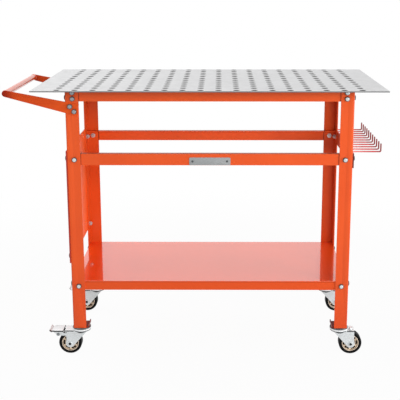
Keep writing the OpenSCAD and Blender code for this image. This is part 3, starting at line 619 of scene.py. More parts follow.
def copyOf(node):  # the model's mesh, joined up, without the lines inside its flat faces
    work = bmesh.new()
    work.from_mesh(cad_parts[node].data)
    bmesh.ops.remove_doubles(work, verts=work.verts, dist=0.002 * mm)
    bmesh.ops.dissolve_limit(work, angle_limit=math.radians(1), verts=work.verts, edges=work.edges)
    return meshOf(node + "_copy", work)


def markCurved(mesh, angle):  # smooth only the faces that meet a neighbour at a slight angle
    work = bmesh.new()
    work.from_mesh(mesh)
    for face in work.faces:
        turns = [edge.calc_face_angle() for edge in face.edges if len(edge.link_faces) == 2]
        face.smooth = any(math.radians(1) < turn < math.radians(angle) for turn in turns)
    work.to_mesh(mesh)
    work.free()


def widthOf(mesh, polygon):  # a long face's width, from its area and outline
    outline = [mesh.vertices[i].co for i in polygon.vertices]
    around = sum((outline[i] - outline[i - 1]).length for i in range(len(outline)))
    return 2 * polygon.area / around


def softened(node, width, material, body="table", segments=2, angle=38):  # a node with rounded edges
    def addBevel(holder):
        bevel = holder.modifiers.new("edges", "BEVEL")
        bevel.width = width
        bevel.segments = segments
        bevel.limit_method = "ANGLE"
        bevel.angle_limit = math.radians(angle)
        bevel.use_clamp_overlap = True
    mesh = copyOf(node)
    markCurved(mesh, angle)
    mesh = bakeModifiers(node + "_soft", mesh, addBevel)
    for polygon in mesh.polygons:
        if widthOf(mesh, polygon) < width * 0.9:  # the new narrow faces along the edges
            polygon.use_smooth = True
    newPiece(node + "_finished", mesh, body, material, (node,))


def grown(name, mesh, tree, values):  # runs a geometry tree on a mesh
    def addTree(holder):
        modifier = holder.modifiers.new("build", "NODES")
        modifier.node_group = tree
        for item in tree.interface.items_tree:
            if item.item_type == "SOCKET" and item.in_out == "INPUT" and item.name in values:
                modifier[item.identifier] = values[item.name]
    return bakeModifiers(name, mesh, addTree)


def geometryTree(name, sizes):  # a tree with a mesh, sizes and a finish going in
    tree = bpy.data.node_groups.new(name, "GeometryNodeTree")
    tree.is_modifier = True
    tree.interface.new_socket("Geometry", in_out="INPUT", socket_type="NodeSocketGeometry")
    tree.interface.new_socket("Geometry", in_out="OUTPUT", socket_type="NodeSocketGeometry")
    for key, kind in sizes.items():
        tree.interface.new_socket(key, in_out="INPUT", socket_type="NodeSocket" + kind)
    graph = Graph(tree)
    source = tree.nodes.new("NodeGroupInput")
    given = {socket.name: Wire(graph, socket) for socket in source.outputs if socket.name}
    return tree, graph, given


def treeEnd(graph, geometry, material):
    painted = graph.node("GeometryNodeSetMaterial", inputs={
        "Geometry": graph.real(geometry), "Material": material})
    graph.node("NodeGroupOutput", inputs={"Geometry": painted})


def facingTurn(graph):  # turns a copy to its point's way, with a turn of its own about that
    facing = graph.node("GeometryNodeInputNamedAttribute", {"data_type": "FLOAT_VECTOR"}, {"Name": "facing"},
                        "Attribute")
    aligned = graph.node("FunctionNodeAlignRotationToVector", {"axis": "Z"}, {"Vector": facing})
    own = graph.node("FunctionNodeRandomValue", {"data_type": "FLOAT"}, {"Max": math.tau, "Seed": 7}, "Value")
    spin = graph.node("FunctionNodeAxisAngleToRotation", inputs={"Axis": (0, 0, 1), "Angle": own})
    return graph.node("FunctionNodeRotateRotation", {"rotation_space": "LOCAL"},
                      {"Rotation": aligned, "Rotate By": spin})


def points(name, places):  # a mesh of loose points, each with the way that it faces
    mesh = bpy.data.meshes.new(name)
    mesh.from_pydata([tuple(place) for place, way in places], [], [])
    facing = mesh.attributes.new("facing", "FLOAT_VECTOR", "POINT")
    for i, (place, way) in enumerate(places):
        facing.data[i].vector = way
    return mesh


def turnedMesh(name, profile, steps, matrix=None):  # a closed profile of (radius, height), turned about Z
    work = bmesh.new()
    rings = []
    for i in range(steps):
        a = 2 * math.pi * i / steps
        rings.append([work.verts.new((r * math.cos(a), r * math.sin(a), h)) for r, h in profile])
    count = len(profile)
    for i in range(steps):
        a, b = rings[i], rings[(i + 1) % steps]
        for j in range(count):
            k = (j + 1) % count
            if profile[j][0] > 0 or profile[k][0] > 0:
                work.faces.new([a[j], b[j], b[k], a[k]])
    bmesh.ops.remove_doubles(work, verts=work.verts, dist=0.001 * mm)
    bmesh.ops.recalc_face_normals(work, faces=work.faces)
    if matrix is not None:
        work.transform(matrix)
    for face in work.faces:
        face.smooth = True
    return meshOf(name, work)


def sharpened(mesh, angle=35):  # smooth faces, with sharp lines where the shape turns
    mesh.set_sharp_from_angle(angle=math.radians(angle))
    return mesh


def arcPoints(cx, cy, r, a, b, steps):  # from angle a to angle b, in degrees
    turns = [math.radians(a + (b - a) * i / steps) for i in range(steps + 1)]
    return [(cx + r * math.cos(turn), cy + r * math.sin(turn)) for turn in turns]


def outlineMesh(name, outline, thick, matrix, soft):  # a flat outline given a thickness along Z
    work = bmesh.new()
    low = [work.verts.new((x, y, 0)) for x, y in outline]
    high = [work.verts.new((x, y, thick)) for x, y in outline]
    work.faces.new(low[::-1])
    work.faces.new(high)
    for i in range(len(outline)):
        j = (i + 1) % len(outline)
        work.faces.new([low[i], low[j], high[j], high[i]])
    bmesh.ops.recalc_face_normals(work, faces=work.faces)
    rims = [edge for edge in work.edges if abs(edge.verts[0].co.z - edge.verts[1].co.z) < 1e-9]
    bmesh.ops.bevel(work, geom=rims, offset=soft, segments=2, affect="EDGES", profile=0.5)
    work.transform(matrix)
    bmesh.ops.recalc_face_normals(work, faces=work.faces)
    for face in work.faces:
        face.smooth = True
    return sharpened(meshOf(name, work))


def joined(name, meshes):
    work = bmesh.new()
    for mesh in meshes:
        work.from_mesh(mesh)
    return sharpened(meshOf(name, work))


# Work plate with its clamping holes

def plateTree():
    tree, graph, given = geometryTree("perforated_plate", {
        "Holes X": "Int", "Holes Y": "Int", "Pitch X": "Float", "Pitch Y": "Float",
        "Hole radius": "Float", "Chamfer": "Float", "Thickness": "Float", "Finish": "Material"})
    radius, chamfer, thick = given["Hole radius"], given["Chamfer"], given["Thickness"]
    shaft = graph.tube(32, radius, thick * 2.0)
    flare = graph.cone(32, radius + chamfer * 3.0, radius - 0.001 * mm, chamfer * 3.0)
    top = graph.placed(flare, Translation=graph.vector(z=thick / 2.0 - chamfer))
    low = graph.placed(flare, Translation=graph.vector(z=chamfer - thick / 2.0), Rotation=(math.pi, 0, 0))
    grid = graph.node("GeometryNodeMeshGrid", inputs={
        "Size X": given["Pitch X"] * (given["Holes X"] - 1), "Vertices X": given["Holes X"],
        "Size Y": given["Pitch Y"] * (given["Holes Y"] - 1), "Vertices Y": given["Holes Y"]})
    cutters = graph.real(graph.copies(grid, graph.together("UNION", shaft, top, low)))
    treeEnd(graph, graph.cut(given["Geometry"], cutters, "MANIFOLD"), given["Finish"])
    return tree


def makePlate():
    size = plateHigh - plateLow
    work = bmesh.new()
    bmesh.ops.create_cube(work, size=1)
    work.transform(Matrix.Diagonal((size.x, size.y, size.z, 1)))
    bmesh.ops.bevel(work, geom=work.edges[:], offset=plateSizes["edge"], segments=2, affect="EDGES",
                    profile=0.5)
    mesh = grown("work_plate", meshOf("plate_blank", work), plateTree(), {
        "Holes X": plateSizes["across"], "Holes Y": plateSizes["deep"], "Pitch X": plateSizes["pitchX"],
        "Pitch Y": plateSizes["pitchY"], "Hole radius": plateSizes["hole"] / 2,
        "Chamfer": plateSizes["chamfer"], "Thickness": size.z, "Finish": galvanised})
    mesh.transform(Matrix.Translation((midX, 0, (plateLow.z + plateHigh.z) / 2)))
    for polygon in mesh.polygons:
        polygon.use_smooth = True
    newPiece("work_plate", sharpened(mesh, 20), "table", galvanised, ("top_plate",))


makePlate()
print("plate made")

# Legs, rails, shelf, panel and bars: how far their edges are rounded, and their finish

frameEdges = {"leg": 0.45 * mm, "shelf": 0.7 * mm, "bar": 0.5 * mm}
for corner in corners:
    softened(corner + "_leg", frameEdges["leg"], orangeCoat)
for node, coat in (("front_top_rail", railCoat), ("rear_top_rail", railCoat), ("front_mid_rail", railCoat),
                   ("rear_mid_rail", railCoat), ("left_top_rail", orangeCoat), ("right_top_rail", orangeCoat),
                   ("hook_bar", barCoat), ("left_side_panel", panelCoat), ("handle_front_arm", armCoat),
                   ("handle_rear_arm", armCoat)):
    softened(node, frameEdges["bar"], coat)
softened("lower_shelf", frameEdges["shelf"], shelfCoat, segments=3)
softened("foot_plates", frameEdges["bar"], footCoat)
print("frame softened")

# Grip of the push handle, with a weld round each end

gripSizes = {"radius": 8.25 * mm, "weld": 1.1 * mm, "weldTurns": (-80, -45, 0, 45, 80), "steps": 40}


def makeGrip():
    low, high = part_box("handle_grip")
    r, half, weld = gripSizes["radius"], (high.y - low.y) / 2, gripSizes["weld"]
    bead = [(r + weld * math.cos(math.radians(a)) * 0.9, -half + weld * (1 + math.sin(math.radians(a))) * 0.9)
            for a in gripSizes["weldTurns"]]
    end = [(0, -half), (r, -half)] + bead + [(r, -half + weld * 1.9)]
    profile = end + [(x, -y) for x, y in reversed(end)]
    turn = Matrix.Translation((low + high) / 2) @ Matrix.Rotation(math.pi / 2, 4, "X")
    mesh = sharpened(turnedMesh("grip", profile, gripSizes["steps"], turn))
    for vertex in mesh.vertices:  # the bead is dressed flush on the outer side
        vertex.co.x = max(vertex.co.x, low.x)
    newPiece("handle_grip_bar", mesh, "table", glossCoat, ("handle_grip",))


makeGrip()

# Bolts and nuts

boltSizes = {"flats": 12 * mm, "head": 5 * mm, "flange": 6.6 * mm, "flangeHigh": 1.1 * mm, "shank": 4 * mm,
             "thread": 2 * mm, "pitch": 1.25 * mm, "in": 20 * mm, "sideIn": 22 * mm, "crown": 0.43,
             "crownFlat": 0.26, "crownSunk": 0.35 * mm, "rows": 48, "threadDeep": 0.22, "threadLit": 0.85}
nutSizes = {"high": 6.5 * mm, "crown": 0.46, "play": 0.05 * mm}
stemNutSizes = {"flats": 19 * mm, "high": 8 * mm, "bore": 6.05 * mm, "up": 3 * mm}


def hexHead(graph, flats, high, crown):  # a six-sided block with its corners turned off at the top
    prism = graph.tube(6, flats / (2 * math.cos(math.pi / 6)), high)
    cone = graph.cone(40, flats * crown, flats * crown + high * 2.2, high)
    return graph.together("INTERSECT", graph.placed(prism, Translation=graph.vector(z=high / 2.0)), cone)


def boltTree():
    tree, graph, given = geometryTree("flange_bolt", {
        "Flats": "Float", "Head height": "Float", "Flange radius": "Float", "Flange height": "Float",
        "Shank radius": "Float", "Length": "Float", "Pitch": "Float", "Finish": "Material"})
    flats, high = given["Flats"], given["Head height"]
    shank, length, pitch = given["Shank radius"], given["Length"], given["Pitch"]
    head = hexHead(graph, flats, high, boltSizes["crown"])
    dome = graph.placed(graph.ball(32, 16, flats * boltSizes["crown"]),
                        Translation=graph.vector(z=high - boltSizes["crownSunk"]),
                        Scale=(1, 1, boltSizes["crownFlat"]))
    flange = graph.cone(40, flats * 0.5, given["Flange radius"], given["Flange height"])
    outward = graph.placed(graph.joined(head, graph.markedLit(dome, 1.0), flange), Rotation=(math.pi, 0, 0))
    rod = graph.node("GeometryNodeMeshCylinder", inputs={
        "Vertices": 20, "Side Segments": boltSizes["rows"], "Radius": shank, "Depth": length})
    x, y, z = graph.axes(graph.node("GeometryNodeInputPosition"))
    groove = graph.maths("PINGPONG", z, pitch / 2.0) * boltSizes["threadDeep"] / pitch
    onSkin = graph.maths("COMPARE", (x * x + y * y) ** 0.5 / shank, 1.0, 0.05)
    scale = 1.0 - onSkin * groove
    threaded = graph.node("GeometryNodeSetPosition", inputs={
        "Geometry": rod, "Position": graph.vector(x * scale, y * scale, z)})
    inward = graph.markedLit(graph.placed(threaded, Translation=graph.vector(z=length / 2.0)),
                         boltSizes["threadLit"])
    spread = graph.copies(given["Geometry"], graph.joined(outward, inward), Rotation=facingTurn(graph))
    treeEnd(graph, spread, given["Finish"])
    return tree


def nutTree():
    tree, graph, given = geometryTree("hex_nut", {
        "Flats": "Float", "Height": "Float", "Bore radius": "Float", "Finish": "Material"})
    block = hexHead(graph, given["Flats"], given["Height"], nutSizes["crown"])
    drilled = graph.cut(block, graph.tube(20, given["Bore radius"], given["Height"] * 4.0))
    spread = graph.copies(given["Geometry"], graph.markedLit(drilled, 1.0), Rotation=facingTurn(graph))
    treeEnd(graph, spread, given["Finish"])
    return tree


hexNut = nutTree()


def nutMesh(name, places, flats, high, bore, material):
    return grown(name, points(name + "_places", places), hexNut, {
        "Flats": flats, "Height": high, "Bore radius": bore, "Finish": material})


def onEnd(side, end, xIn, z, out=0.0):  # a bolt's place on a leg's front or rear face
    return Vector((midX + side * (legX - xIn), end * (legY + out), z)), Vector((0, -end, 0))


def onSide(side, end, z, out=0.0):  # a bolt's place on a leg's side face
    return Vector((midX + side * (legX + out), end * (legY - boltSizes["sideIn"]), z)), Vector((-side, 0, 0))


topBoltsZ = (underZ - 10.5 * mm, underZ - 26.5 * mm)
midBoltZ, shelfBoltZ = footZ + 480.5 * mm, footZ + 124 * mm
panelBoltsZ, barBoltZ = (footZ + 205 * mm, footZ + 480 * mm), footZ + 480 * mm
armBolts = ((13.5 * mm, underZ - 46.5 * mm), (24.5 * mm, underZ - 60 * mm))

# Each group's grip is how much sheet its bolts hold together
boltGroups = {
    "frame": {"grip": 5 * mm, "places":
              [onEnd(s, e, boltSizes["in"], z) for s in sides for e in ends for z in topBoltsZ + (midBoltZ,)]
              + [onSide(s, e, topBoltsZ[1]) for s in sides for e in ends]},
    "side": {"grip": 5.5 * mm, "places":
             [onSide(left, e, z, 3 * mm) for e in ends for z in panelBoltsZ]
             + [onSide(right, e, barBoltZ, 3 * mm) for e in ends]},
    "shelf": {"grip": 4 * mm, "places":
              [onEnd(s, e, boltSizes["in"], shelfBoltZ) for s in sides for e in ends]
              + [onSide(s, e, shelfBoltZ) for s in sides for e in ends]},
    "handle": {"grip": 5.5 * mm, "places":
               [onEnd(left, e, x, z, 3 * mm) for e in ends for x, z in armBolts]}}


def makeFasteners():
    bolts = boltTree()
    for group, made in boltGroups.items():
        heads = grown(group + "_bolt_set", points(group + "_heads", made["places"]), bolts, {
            "Flats": boltSizes["flats"], "Head height": boltSizes["head"], "Finish": boltSteel,
            "Flange radius": boltSizes["flange"], "Flange height": boltSizes["flangeHigh"],
            "Shank radius": boltSizes["shank"], "Pitch": boltSizes["pitch"],
            "Length": made["grip"] + nutSizes["high"] + boltSizes["thread"]})
        newPiece(group + "_bolt_set", sharpened(heads), "table", boltSteel, (group + "_bolts",))
        inner = [(place + way * made["grip"], way) for place, way in made["places"]]
        nuts = nutMesh(group + "_nut_set", inner, boltSizes["flats"], nutSizes["high"],
                       boltSizes["shank"] + nutSizes["play"], boltSteel)
        newPiece(group + "_nut_set", sharpened(nuts), "table", boltSteel, (group + "_nuts",))
    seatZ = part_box("foot_plates")[0].z + stemNutSizes["up"]
    stems = [(Vector((midX + s * axisX, e * axisY, seatZ)), Vector((0, 0, 1))) for s in sides for e in ends]
    nuts = nutMesh("stem_nut_set", stems, stemNutSizes["flats"], stemNutSizes["high"], stemNutSizes["bore"],
                   boltSteel)
    newPiece("stem_nut_set", sharpened(nuts), "table", boltSteel, ("stem_nuts",))


makeFasteners()
print("bolts and nuts made")

# Tool hooks

hookSizes = {"count": 11, "pitch": 30 * mm, "rod": 2 * mm, "reach": 78 * mm, "rise": 22.5 * mm,
             "bend": 3.5 * mm, "rootOut": 0.3 * mm, "weld": 2.6 * mm, "weldAt": (1.4 * mm, 0, -1.5 * mm),
             "weldShape": (0.75, 1.35, 0.6)}


def hookTree():
    tree, graph, given = geometryTree("bent_hooks", {
        "Rod radius": "Float", "Reach": "Float", "Rise": "Float", "Bend radius": "Float",
        "Weld size": "Float", "Finish": "Material"})
    r, weld = given["Rod radius"], given["Weld size"]
    elbow, end = graph.vector(given["Reach"]), graph.vector(given["Reach"], 0.0, given["Rise"])
    lines = [graph.node("GeometryNodeCurvePrimitiveLine", inputs={"Start": a, "End": b})
             for a, b in (((0, 0, 0), elbow), (elbow, end))]
    corner = graph.node("GeometryNodeMergeByDistance", inputs={
        "Geometry": graph.node("GeometryNodeCurveToMesh", inputs={"Curve": graph.joined(*lines)})})
    path = graph.node("GeometryNodeMeshToCurve", inputs={"Mesh": corner})
    bent = graph.node("GeometryNodeFilletCurve", {"mode": "POLY"}, {
        "Curve": path, "Radius": given["Bend radius"], "Count": 8, "Limit Radius": True})
    ring = graph.node("GeometryNodeCurvePrimitiveCircle", inputs={"Resolution": 12, "Radius": r})
    rod = graph.node("GeometryNodeCurveToMesh", inputs={
        "Curve": bent, "Profile Curve": ring, "Fill Caps": True})
    tip = graph.placed(graph.ball(12, 8, r), Translation=end)
    bead = graph.placed(graph.ball(12, 8, weld), Translation=hookSizes["weldAt"],
                        Scale=hookSizes["weldShape"])
    spread = graph.copies(given["Geometry"], graph.smooth(graph.joined(rod, tip, bead)))
    treeEnd(graph, spread, given["Finish"])
    return tree


def makeHooks():
    x, z = midX + legX + hookSizes["rootOut"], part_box("hook_bar")[1].z + hookSizes["rod"]
    steps = [i - (hookSizes["count"] - 1) / 2 for i in range(hookSizes["count"])]
    roots = [(Vector((x, step * hookSizes["pitch"], z)), Vector((0, 0, 1))) for step in steps]
    mesh = grown("hook_set", points("hook_roots", roots), hookTree(), {
        "Rod radius": hookSizes["rod"], "Bend radius": hookSizes["bend"], "Weld size": hookSizes["weld"],
        "Reach": hookSizes["reach"] - hookSizes["rod"] - hookSizes["rootOut"],
        "Rise": hookSizes["rise"] - hookSizes["rod"], "Finish": lacquer})
    newPiece("hook_set", sharpened(mesh), "table", lacquer, ("tool_hooks",))


makeHooks()
print("hooks made")

# Bare name plate and its rivets

tagSizes = {"corner": 2.5 * mm, "edge": 0.25 * mm, "rivet": 3.1 * mm, "rivetHigh": 0.95 * mm,
            "rivetLong": 4.4 * mm, "rivetPitch": 92 * mm, "steps": 6}


def roundedRectangle(wide, high, r, steps):
    outline = []
    for cx, cy, start in ((1, 1, 0), (-1, 1, 90), (-1, -1, 180), (1, -1, 270)):
        outline += arcPoints(cx * (wide / 2 - r), cy * (high / 2 - r), r, start, start + 90, steps)
    return outline


def rivetTree():
    tree, graph, given = geometryTree("domed_rivet", {
        "Radius": "Float", "Height": "Float", "Shank": "Float", "Finish": "Material"})
    radius, shank = given["Radius"], given["Shank"]
    dome = graph.placed(graph.ball(24, 12, radius), Scale=graph.vector(1.0, 1.0, given["Height"] / radius))
    rod = graph.placed(graph.tube(20, radius * 0.5, shank), Translation=graph.vector(z=shank / 2.0))
    rivet = graph.smooth(graph.joined(dome, rod))
    treeEnd(graph, graph.copies(given["Geometry"], rivet, Rotation=facingTurn(graph)), given["Finish"])
    return tree


def makeTag():
    low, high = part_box("name_plate")
    middle = (low + high) / 2
    turn = Matrix.Translation((middle.x, high.y, middle.z)) @ Matrix.Rotation(math.pi / 2, 4, "X")
    outline = roundedRectangle(high.x - low.x, high.z - low.z, tagSizes["corner"], tagSizes["steps"])
    mesh = outlineMesh("bare_plate", outline, high.y - low.y, turn, tagSizes["edge"])
    newPiece("bare_plate", mesh, "table", bareTag, ("name_plate",))
    places = [(Vector((midX + s * tagSizes["rivetPitch"] / 2, low.y, middle.z)), Vector((0, 1, 0)))
              for s in sides]
    rivets = grown("plate_rivets", points("rivet_places", places), rivetTree(), {
        "Radius": tagSizes["rivet"], "Height": tagSizes["rivetHigh"], "Shank": tagSizes["rivetLong"],
        "Finish": boltSteel})
    newPiece("plate_rivets", sharpened(rivets), "table", boltSteel, ("name_plate_rivets",))


makeTag()
print("name plate made")


# Casters

def casterSpot(side, end):  # the table's frame from a caster's own, with +X along its trail
    place = Matrix.Translation((midX + side * axisX, end * axisY, 0))
    return place @ Matrix.Rotation(math.pi if side == left else 0, 4, "Z")


def wheelSpot(side, end):  # the wheel's own frame, with Z along its axle
    return casterSpot(side, end) @ Matrix.Translation((casterSizes["trail"], 0, casterSizes["wheel"])) \
        @ Matrix.Rotation(math.pi / 2, 4, "X")


def scaled(*pairs):  # profile points that are written in millimetres
    return [(a * mm, b * mm) for a, b in pairs]


def bothHalves(half):  # a profile with its own mirror image in Z
    return half + [(a, -b) for a, b in reversed(half)]


tyreSizes = {"shoulder": 3.4 * mm, "land": 6 * mm, "groove": 2 * mm, "grooveIn": 1.6 * mm,
             "grooveDeep": 0.25 * mm, "steps": 96}


def makeTyre(corner, side, end):
    r, rim, half = casterSizes["wheel"], casterSizes["rim"], casterSizes["half"]
    soft, grooveR = tyreSizes["shoulder"], r - tyreSizes["grooveDeep"]
    flank = [(rim, -half + 1.2 * mm), (rim + 0.7 * mm, -half + 0.3 * mm), (rim + 2 * mm, -half)]
    shoulder = arcPoints(r - soft, -half + soft, soft, -90, 0, 8)
    low = flank + shoulder + [(r, tyreSizes["land"] - half)]
    groove = bothHalves([(r, -tyreSizes["groove"]), (grooveR, -tyreSizes["grooveIn"])])
    profile = low + groove + [(a, -b) for a, b in reversed(low)]
    mesh = turnedMesh("tyre", profile, tyreSizes["steps"], wheelSpot(side, end))
    newPiece(corner + "_tyre_rubber", sharpened(mesh), corner + "_wheel", rubber,
             (corner + "_tyre",))


rimSizes = {"slots": 6, "slotRadius": 17.8 * mm, "slotWide": 4.4 * mm, "slotSweep": 34.0, "hub": 8.5 * mm,
            "bore": 4.05 * mm, "hubHalf": 13.7 * mm, "shadeIn": 13.4 * mm, "shadeOut": 20.4 * mm,
            "shadeHalf": 0.3 * mm, "steps": 72, "shadeSteps": 48}


def rimTree():
    tree, graph, given = geometryTree("slotted_rim", {
        "Slots": "Int", "Slot radius": "Float", "Slot width": "Float", "Slot sweep": "Float",
        "Finish": "Material"})
    wide, sweep, through = given["Slot width"], given["Slot sweep"], 60 * mm
    arc = graph.node("GeometryNodeCurveArc", {"mode": "RADIUS"}, {
        "Resolution": 9, "Radius": given["Slot radius"], "Start Angle": -sweep / 2.0, "Sweep Angle": sweep})
    section = graph.node("GeometryNodeCurvePrimitiveQuadrilateral", inputs={"Width": wide, "Height": through})
    body = graph.node("GeometryNodeCurveToMesh", inputs={
        "Curve": arc, "Profile Curve": section, "Fill Caps": True})
    pins = graph.copies(arc, graph.tube(14, wide / 2.0, through),
                        Selection=graph.node("GeometryNodeCurveEndpointSelection"))
    slot = graph.together("UNION", body, graph.real(pins))
    middle = graph.node("GeometryNodeMeshLine", {"mode": "OFFSET"}, {
        "Count": given["Slots"], "Offset": (0, 0, 0)})
    turn = graph.vector(z=graph.node("GeometryNodeInputIndex") * math.tau / given["Slots"])
    slots = graph.copies(middle, slot,
                         Rotation=graph.node("FunctionNodeEulerToRotation", inputs={"Euler": turn}))
    treeEnd(graph, graph.cut(given["Geometry"], graph.real(slots)), given["Finish"])
    return tree


slottedRim = rimTree()


def makeRim(corner, side, end):
    hub, rim, half = rimSizes["hub"], casterSizes["rim"], casterSizes["half"]
    face, bore = rimSizes["hubHalf"], rimSizes["bore"]
    lip = [(rim - a, half - b) for a, b in scaled((0, 1.3), (0.5, 0.8), (1.3, 0.8), (1.9, 1.6), (2.6, 4.0),
                                                  (3.4, 4.6))]
    dish = [(r, half - b) for r, b in scaled((13.2, 5.6), (11.6, 4.4), (10.6, 4.2), (9.7, 5.2))]
    boss = [(hub + 0.4 * mm, half - 5.2 * mm), (hub, half - 4.6 * mm), (hub, face - 0.4 * mm),
            (hub - 0.4 * mm, face), (bore, face)]
    blank = turnedMesh("rim_blank", bothHalves(lip + dish + boss), rimSizes["steps"])
    mesh = grown(corner + "_rim_bronze", blank, slottedRim, {
        "Slots": rimSizes["slots"], "Slot radius": rimSizes["slotRadius"], "Slot width": rimSizes["slotWide"],
        "Slot sweep": math.radians(rimSizes["slotSweep"]), "Finish": bronze})
    thin = rimSizes["shadeHalf"]  # a thin disc closes the slots half way in, painted shade where the slots' shadow lies
    shade = turnedMesh("rim_shade", [(rimSizes["shadeIn"], -thin), (rimSizes["shadeOut"], -thin),
                                     (rimSizes["shadeOut"], thin), (rimSizes["shadeIn"], thin)],
                       rimSizes["shadeSteps"])
    whole = joined(corner + "_rim_bronze", [mesh, shade])
    whole.transform(wheelSpot(side, end))
    newPiece(corner + "_rim_bronze", whole, corner + "_wheel", bronze, (corner + "_rim",))


# In millimetres, as the profile points below are
cupSizes = {"radius": 25.5, "bore": 6.05, "topR": 21.2, "topZ": 80.0, "round": 4.2, "sheet": 2.0, "steps": 72}


def makeCup(corner, side, end):
    r, bore, topZ = cupSizes["radius"], cupSizes["bore"], cupSizes["topZ"]
    shoulder = arcPoints(cupSizes["topR"], topZ - cupSizes["round"], cupSizes["round"], 90, 5, 6)
    outer = [(bore, topZ), (cupSizes["topR"], topZ)] + shoulder \
        + [(r - 0.1, 73.6), (r, 72.2), (r - 0.2, 71.5), (r - 1.2, 71.4)]
    underZ = topZ - cupSizes["sheet"]
    inner = [(23.6, 72.0), (23.5, 75.0), (21.4, 77.6), (20.0, underZ), (bore, underZ)]
    mesh = turnedMesh("cup", scaled(*outer, *inner), cupSizes["steps"], casterSpot(side, end))
    newPiece(corner + "_cup_pressed", sharpened(mesh, 50), "table", zincPlate,
             (corner + "_cup",))


shadeRingSizes = {"in": 23.4 * mm, "out": 24.7 * mm, "topZ": 71.2 * mm, "lowZ": 69 * mm, "dip": 1.3 * mm,
             "dipHalf": 15 * mm, "steps": 96}


def makeShadeRing(corner, side, end):  # painted shade: a dark ring under the cup, no part of the caster, stands for the shadow under the cup's rim, deeper over the crown's middle
    inR, outR, topZ, lowZ = (shadeRingSizes[key] for key in ("in", "out", "topZ", "lowZ"))
    mesh = turnedMesh(corner + "_seal", [(inR, topZ), (outR, topZ), (outR, lowZ), (inR, lowZ)],
                      shadeRingSizes["steps"])
    for vertex in mesh.vertices:
        if vertex.co.z < (topZ + lowZ) / 2 and abs(vertex.co.x) < shadeRingSizes["dipHalf"]:
            vertex.co.z -= shadeRingSizes["dip"] * (1 + math.cos(math.pi * vertex.co.x / shadeRingSizes["dipHalf"]))
    mesh.transform(casterSpot(side, end))
    newPiece(corner + "_seal", sharpened(mesh), corner + "_caster", shadeRingDark)


deckRivetSizes = {"along": 31.5 * mm, "aside": -8 * mm, "steps": 32, "profile": (
    (0, 70.6), (4.6, 70.6), (4.8, 73.0), (4.4, 75.0), (3.2, 76.6), (1.6, 77.4), (0, 77.6))}


def makeDeckRivet(corner, side, end):  # low rivet on the deck of a caster without a brake
    spot = casterSpot(side, end) @ Matrix.Translation((deckRivetSizes["along"], deckRivetSizes["aside"], 0))
    mesh = turnedMesh(corner + "_deck_rivet", scaled(*deckRivetSizes["profile"]), deckRivetSizes["steps"],
                      spot)
    newPiece(corner + "_deck_rivet", sharpened(mesh, 50), corner + "_caster", zincPlate)


axleSizes = {"socket": 3.8 * mm, "head": 6 * mm, "shank": 4 * mm, "out": 16.3 * mm, "nut": 4 * mm,
             "nutFlats": 13 * mm, "nutBore": 4.05 * mm, "steps": 40}


def makeAxle(corner, side, end):
    socket, head, shank, out = axleSizes["socket"], axleSizes["head"], axleSizes["shank"], axleSizes["out"]
    profile = [(0, -out - 1.3 * mm), (socket, -out - 1.3 * mm), (socket, -out - 2.8 * mm),
               (4.3 * mm, -out - 3 * mm), (5.3 * mm, -out - 2.8 * mm), (head, -out - 2.1 * mm), (head, -out),
               (shank, -out), (shank, out + 4.6 * mm), (3.5 * mm, out + 5 * mm), (0, out + 5 * mm)]
    centre = Vector((midX + side * wheelX, end * axisY, casterSizes["wheel"]))
    pin = turnedMesh(corner + "_axle_pin", profile, axleSizes["steps"],
                     Matrix.Translation(centre) @ Matrix.Rotation(-math.pi / 2, 4, "X"))
    nut = nutMesh(corner + "_axle_nut", [(centre + Vector((0, out, 0)), Vector((0, 1, 0)))],
                  axleSizes["nutFlats"], axleSizes["nut"], axleSizes["nutBore"], axleSteel)
    newPiece(corner + "_axle_bolt", joined(corner + "_axle_bolt", [pin, nut]), corner + "_caster", axleSteel,
             (corner + "_axle",))


for corner, (side, end) in corners.items():
    makeTyre(corner, side, end)
    makeRim(corner, side, end)
    makeCup(corner, side, end)
    softened(corner + "_fork", casterSizes["forkEdge"], zincPlate, corner + "_caster")
    makeAxle(corner, side, end)
    makeShadeRing(corner, side, end)
    if side == right:
        makeDeckRivet(corner, side, end)
for corner in ("front_left", "rear_left"):
    softened(corner + "_pedal", casterSizes["pedalEdge"], zincPlate, corner + "_brake")
for node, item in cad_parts.items():  # nodes that keep their own shape and get a finish
    if node.endswith(("_stem", "_pedal_pin")) or node == "swivel_balls":
        item.data.materials.clear()
        item.data.materials.append(pinSteel if node.endswith("_pedal_pin") else zincPlate)
print("casters made")

# Camera

cameraSizes = {"place": (midX + 26.88 * mm, -2.2512, 1.0563), "down": 11.758, "turn": 0.2, "lens": 72.58,
               "shiftX": -0.043, "shiftY": -0.157, "sees": 200}
camera = bpy.data.objects.new("camera", bpy.data.cameras.new("camera"))
scene.collection.objects.link(camera)
camera.location = cameraSizes["place"]
camera.rotation_euler = (math.radians(90 - cameraSizes["down"]), 0, math.radians(cameraSizes["turn"]))
camera.data.lens = cameraSizes["lens"]
camera.data.sensor_width = 36
camera.data.shift_x = cameraSizes["shiftX"]
camera.data.shift_y = cameraSizes["shiftY"]
camera.data.clip_end = cameraSizes["sees"]
scene.camera = camera

# Floor, world and lamps

stageLight = {"world": 0.5, "floorTone": tone(190, 190, 190), "floorHalf": 60, "nearGlow": 0.96,
              "nearRadius": 0.75, "farRadius": 1.7}
lamps = {
    "lamp_top": {"place": (-1.5, 0.4, 2.8), "target": (0, 0, 0.5), "size": (2.4, 2.0), "watts": 40},
    "lamp_right": {"place": (3.0, -1.2, 0.9), "target": (0, 0, 0.4), "size": (1.8, 1.2), "watts": 55},
    "lamp_front": {"place": (1.3, -3.6, 1.5), "target": (0, 0, 0.35), "size": (2.2, 1.2), "watts": 76,
                   "mirrored": False}}  # not mirrored: its own shape doesn't show in shiny surfaces


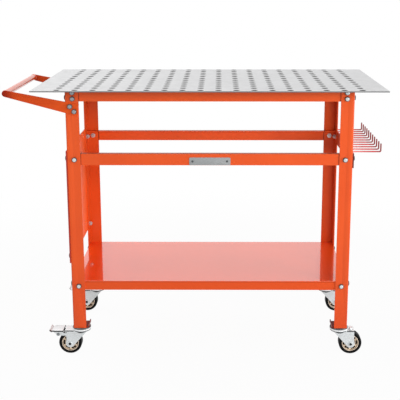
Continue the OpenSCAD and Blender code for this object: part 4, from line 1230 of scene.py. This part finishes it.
def rayMask(graph):  # 1 for the rays that see the backdrop: camera, mirror and glass rays
    seen = graph.node("ShaderNodeLightPath", out=("Is Camera Ray", "Is Glossy Ray", "Is Transmission Ray"))
    return seen[0].most(seen[1]).most(seen[2])


def makeFloor():
    half, near, far = stageLight["floorHalf"], stageLight["nearRadius"], stageLight["farRadius"]
    mesh = bpy.data.meshes.new("floor")
    mesh.from_pydata([(-half, -half, 0), (half, -half, 0), (half, half, 0), (-half, half, 0)], [],
                     [(0, 1, 2, 3)])
    floor = bpy.data.objects.new("floor", mesh)
    scene.collection.objects.link(floor)
    material = bpy.data.materials.new("floor")
    graph = emptied(material)
    matte = graph.node("ShaderNodeBsdfDiffuse", inputs={"Color": stageLight["floorTone"]})
    glow = graph.node("ShaderNodeEmission", inputs={"Color": (1, 1, 1, 1), "Strength": 1.0})
    x, y, z = graph.axes(graph.place())
    outer = ((x * x + y * y) ** 0.5).above((far + near) / 2, far - near)
    white = stageLight["nearGlow"] + outer * (1 - stageLight["nearGlow"])
    shader = graph.node("ShaderNodeMixShader", inputs=[rayMask(graph) * white, matte, glow])
    graph.node("ShaderNodeOutputMaterial", inputs={"Surface": shader})
    mesh.materials.append(material)


def makeWorld():
    world = bpy.data.worlds.new("studio")
    scene.world = world
    graph = emptied(world)
    back = graph.node("ShaderNodeBackground", inputs={
        "Color": (1, 1, 1, 1), "Strength": stageLight["world"] + rayMask(graph) * (1 - stageLight["world"])})
    graph.node("ShaderNodeOutputWorld", inputs={"Surface": back})


def makeLamp(name, place, target, size, watts, mirrored=True):
    lamp = bpy.data.lights.new(name, "AREA")
    lamp.energy = watts
    lamp.shape = "RECTANGLE"
    lamp.size, lamp.size_y = size
    holder = bpy.data.objects.new(name, lamp)
    scene.collection.objects.link(holder)
    holder.visible_glossy = mirrored
    holder.location = place
    holder.rotation_euler = (Vector(target) - Vector(place)).to_track_quat("-Z", "Y").to_euler()


makeFloor()
makeWorld()
for name, values in lamps.items():
    makeLamp(name, **values)
scene.view_settings.view_transform = "Standard"
print("stage set")
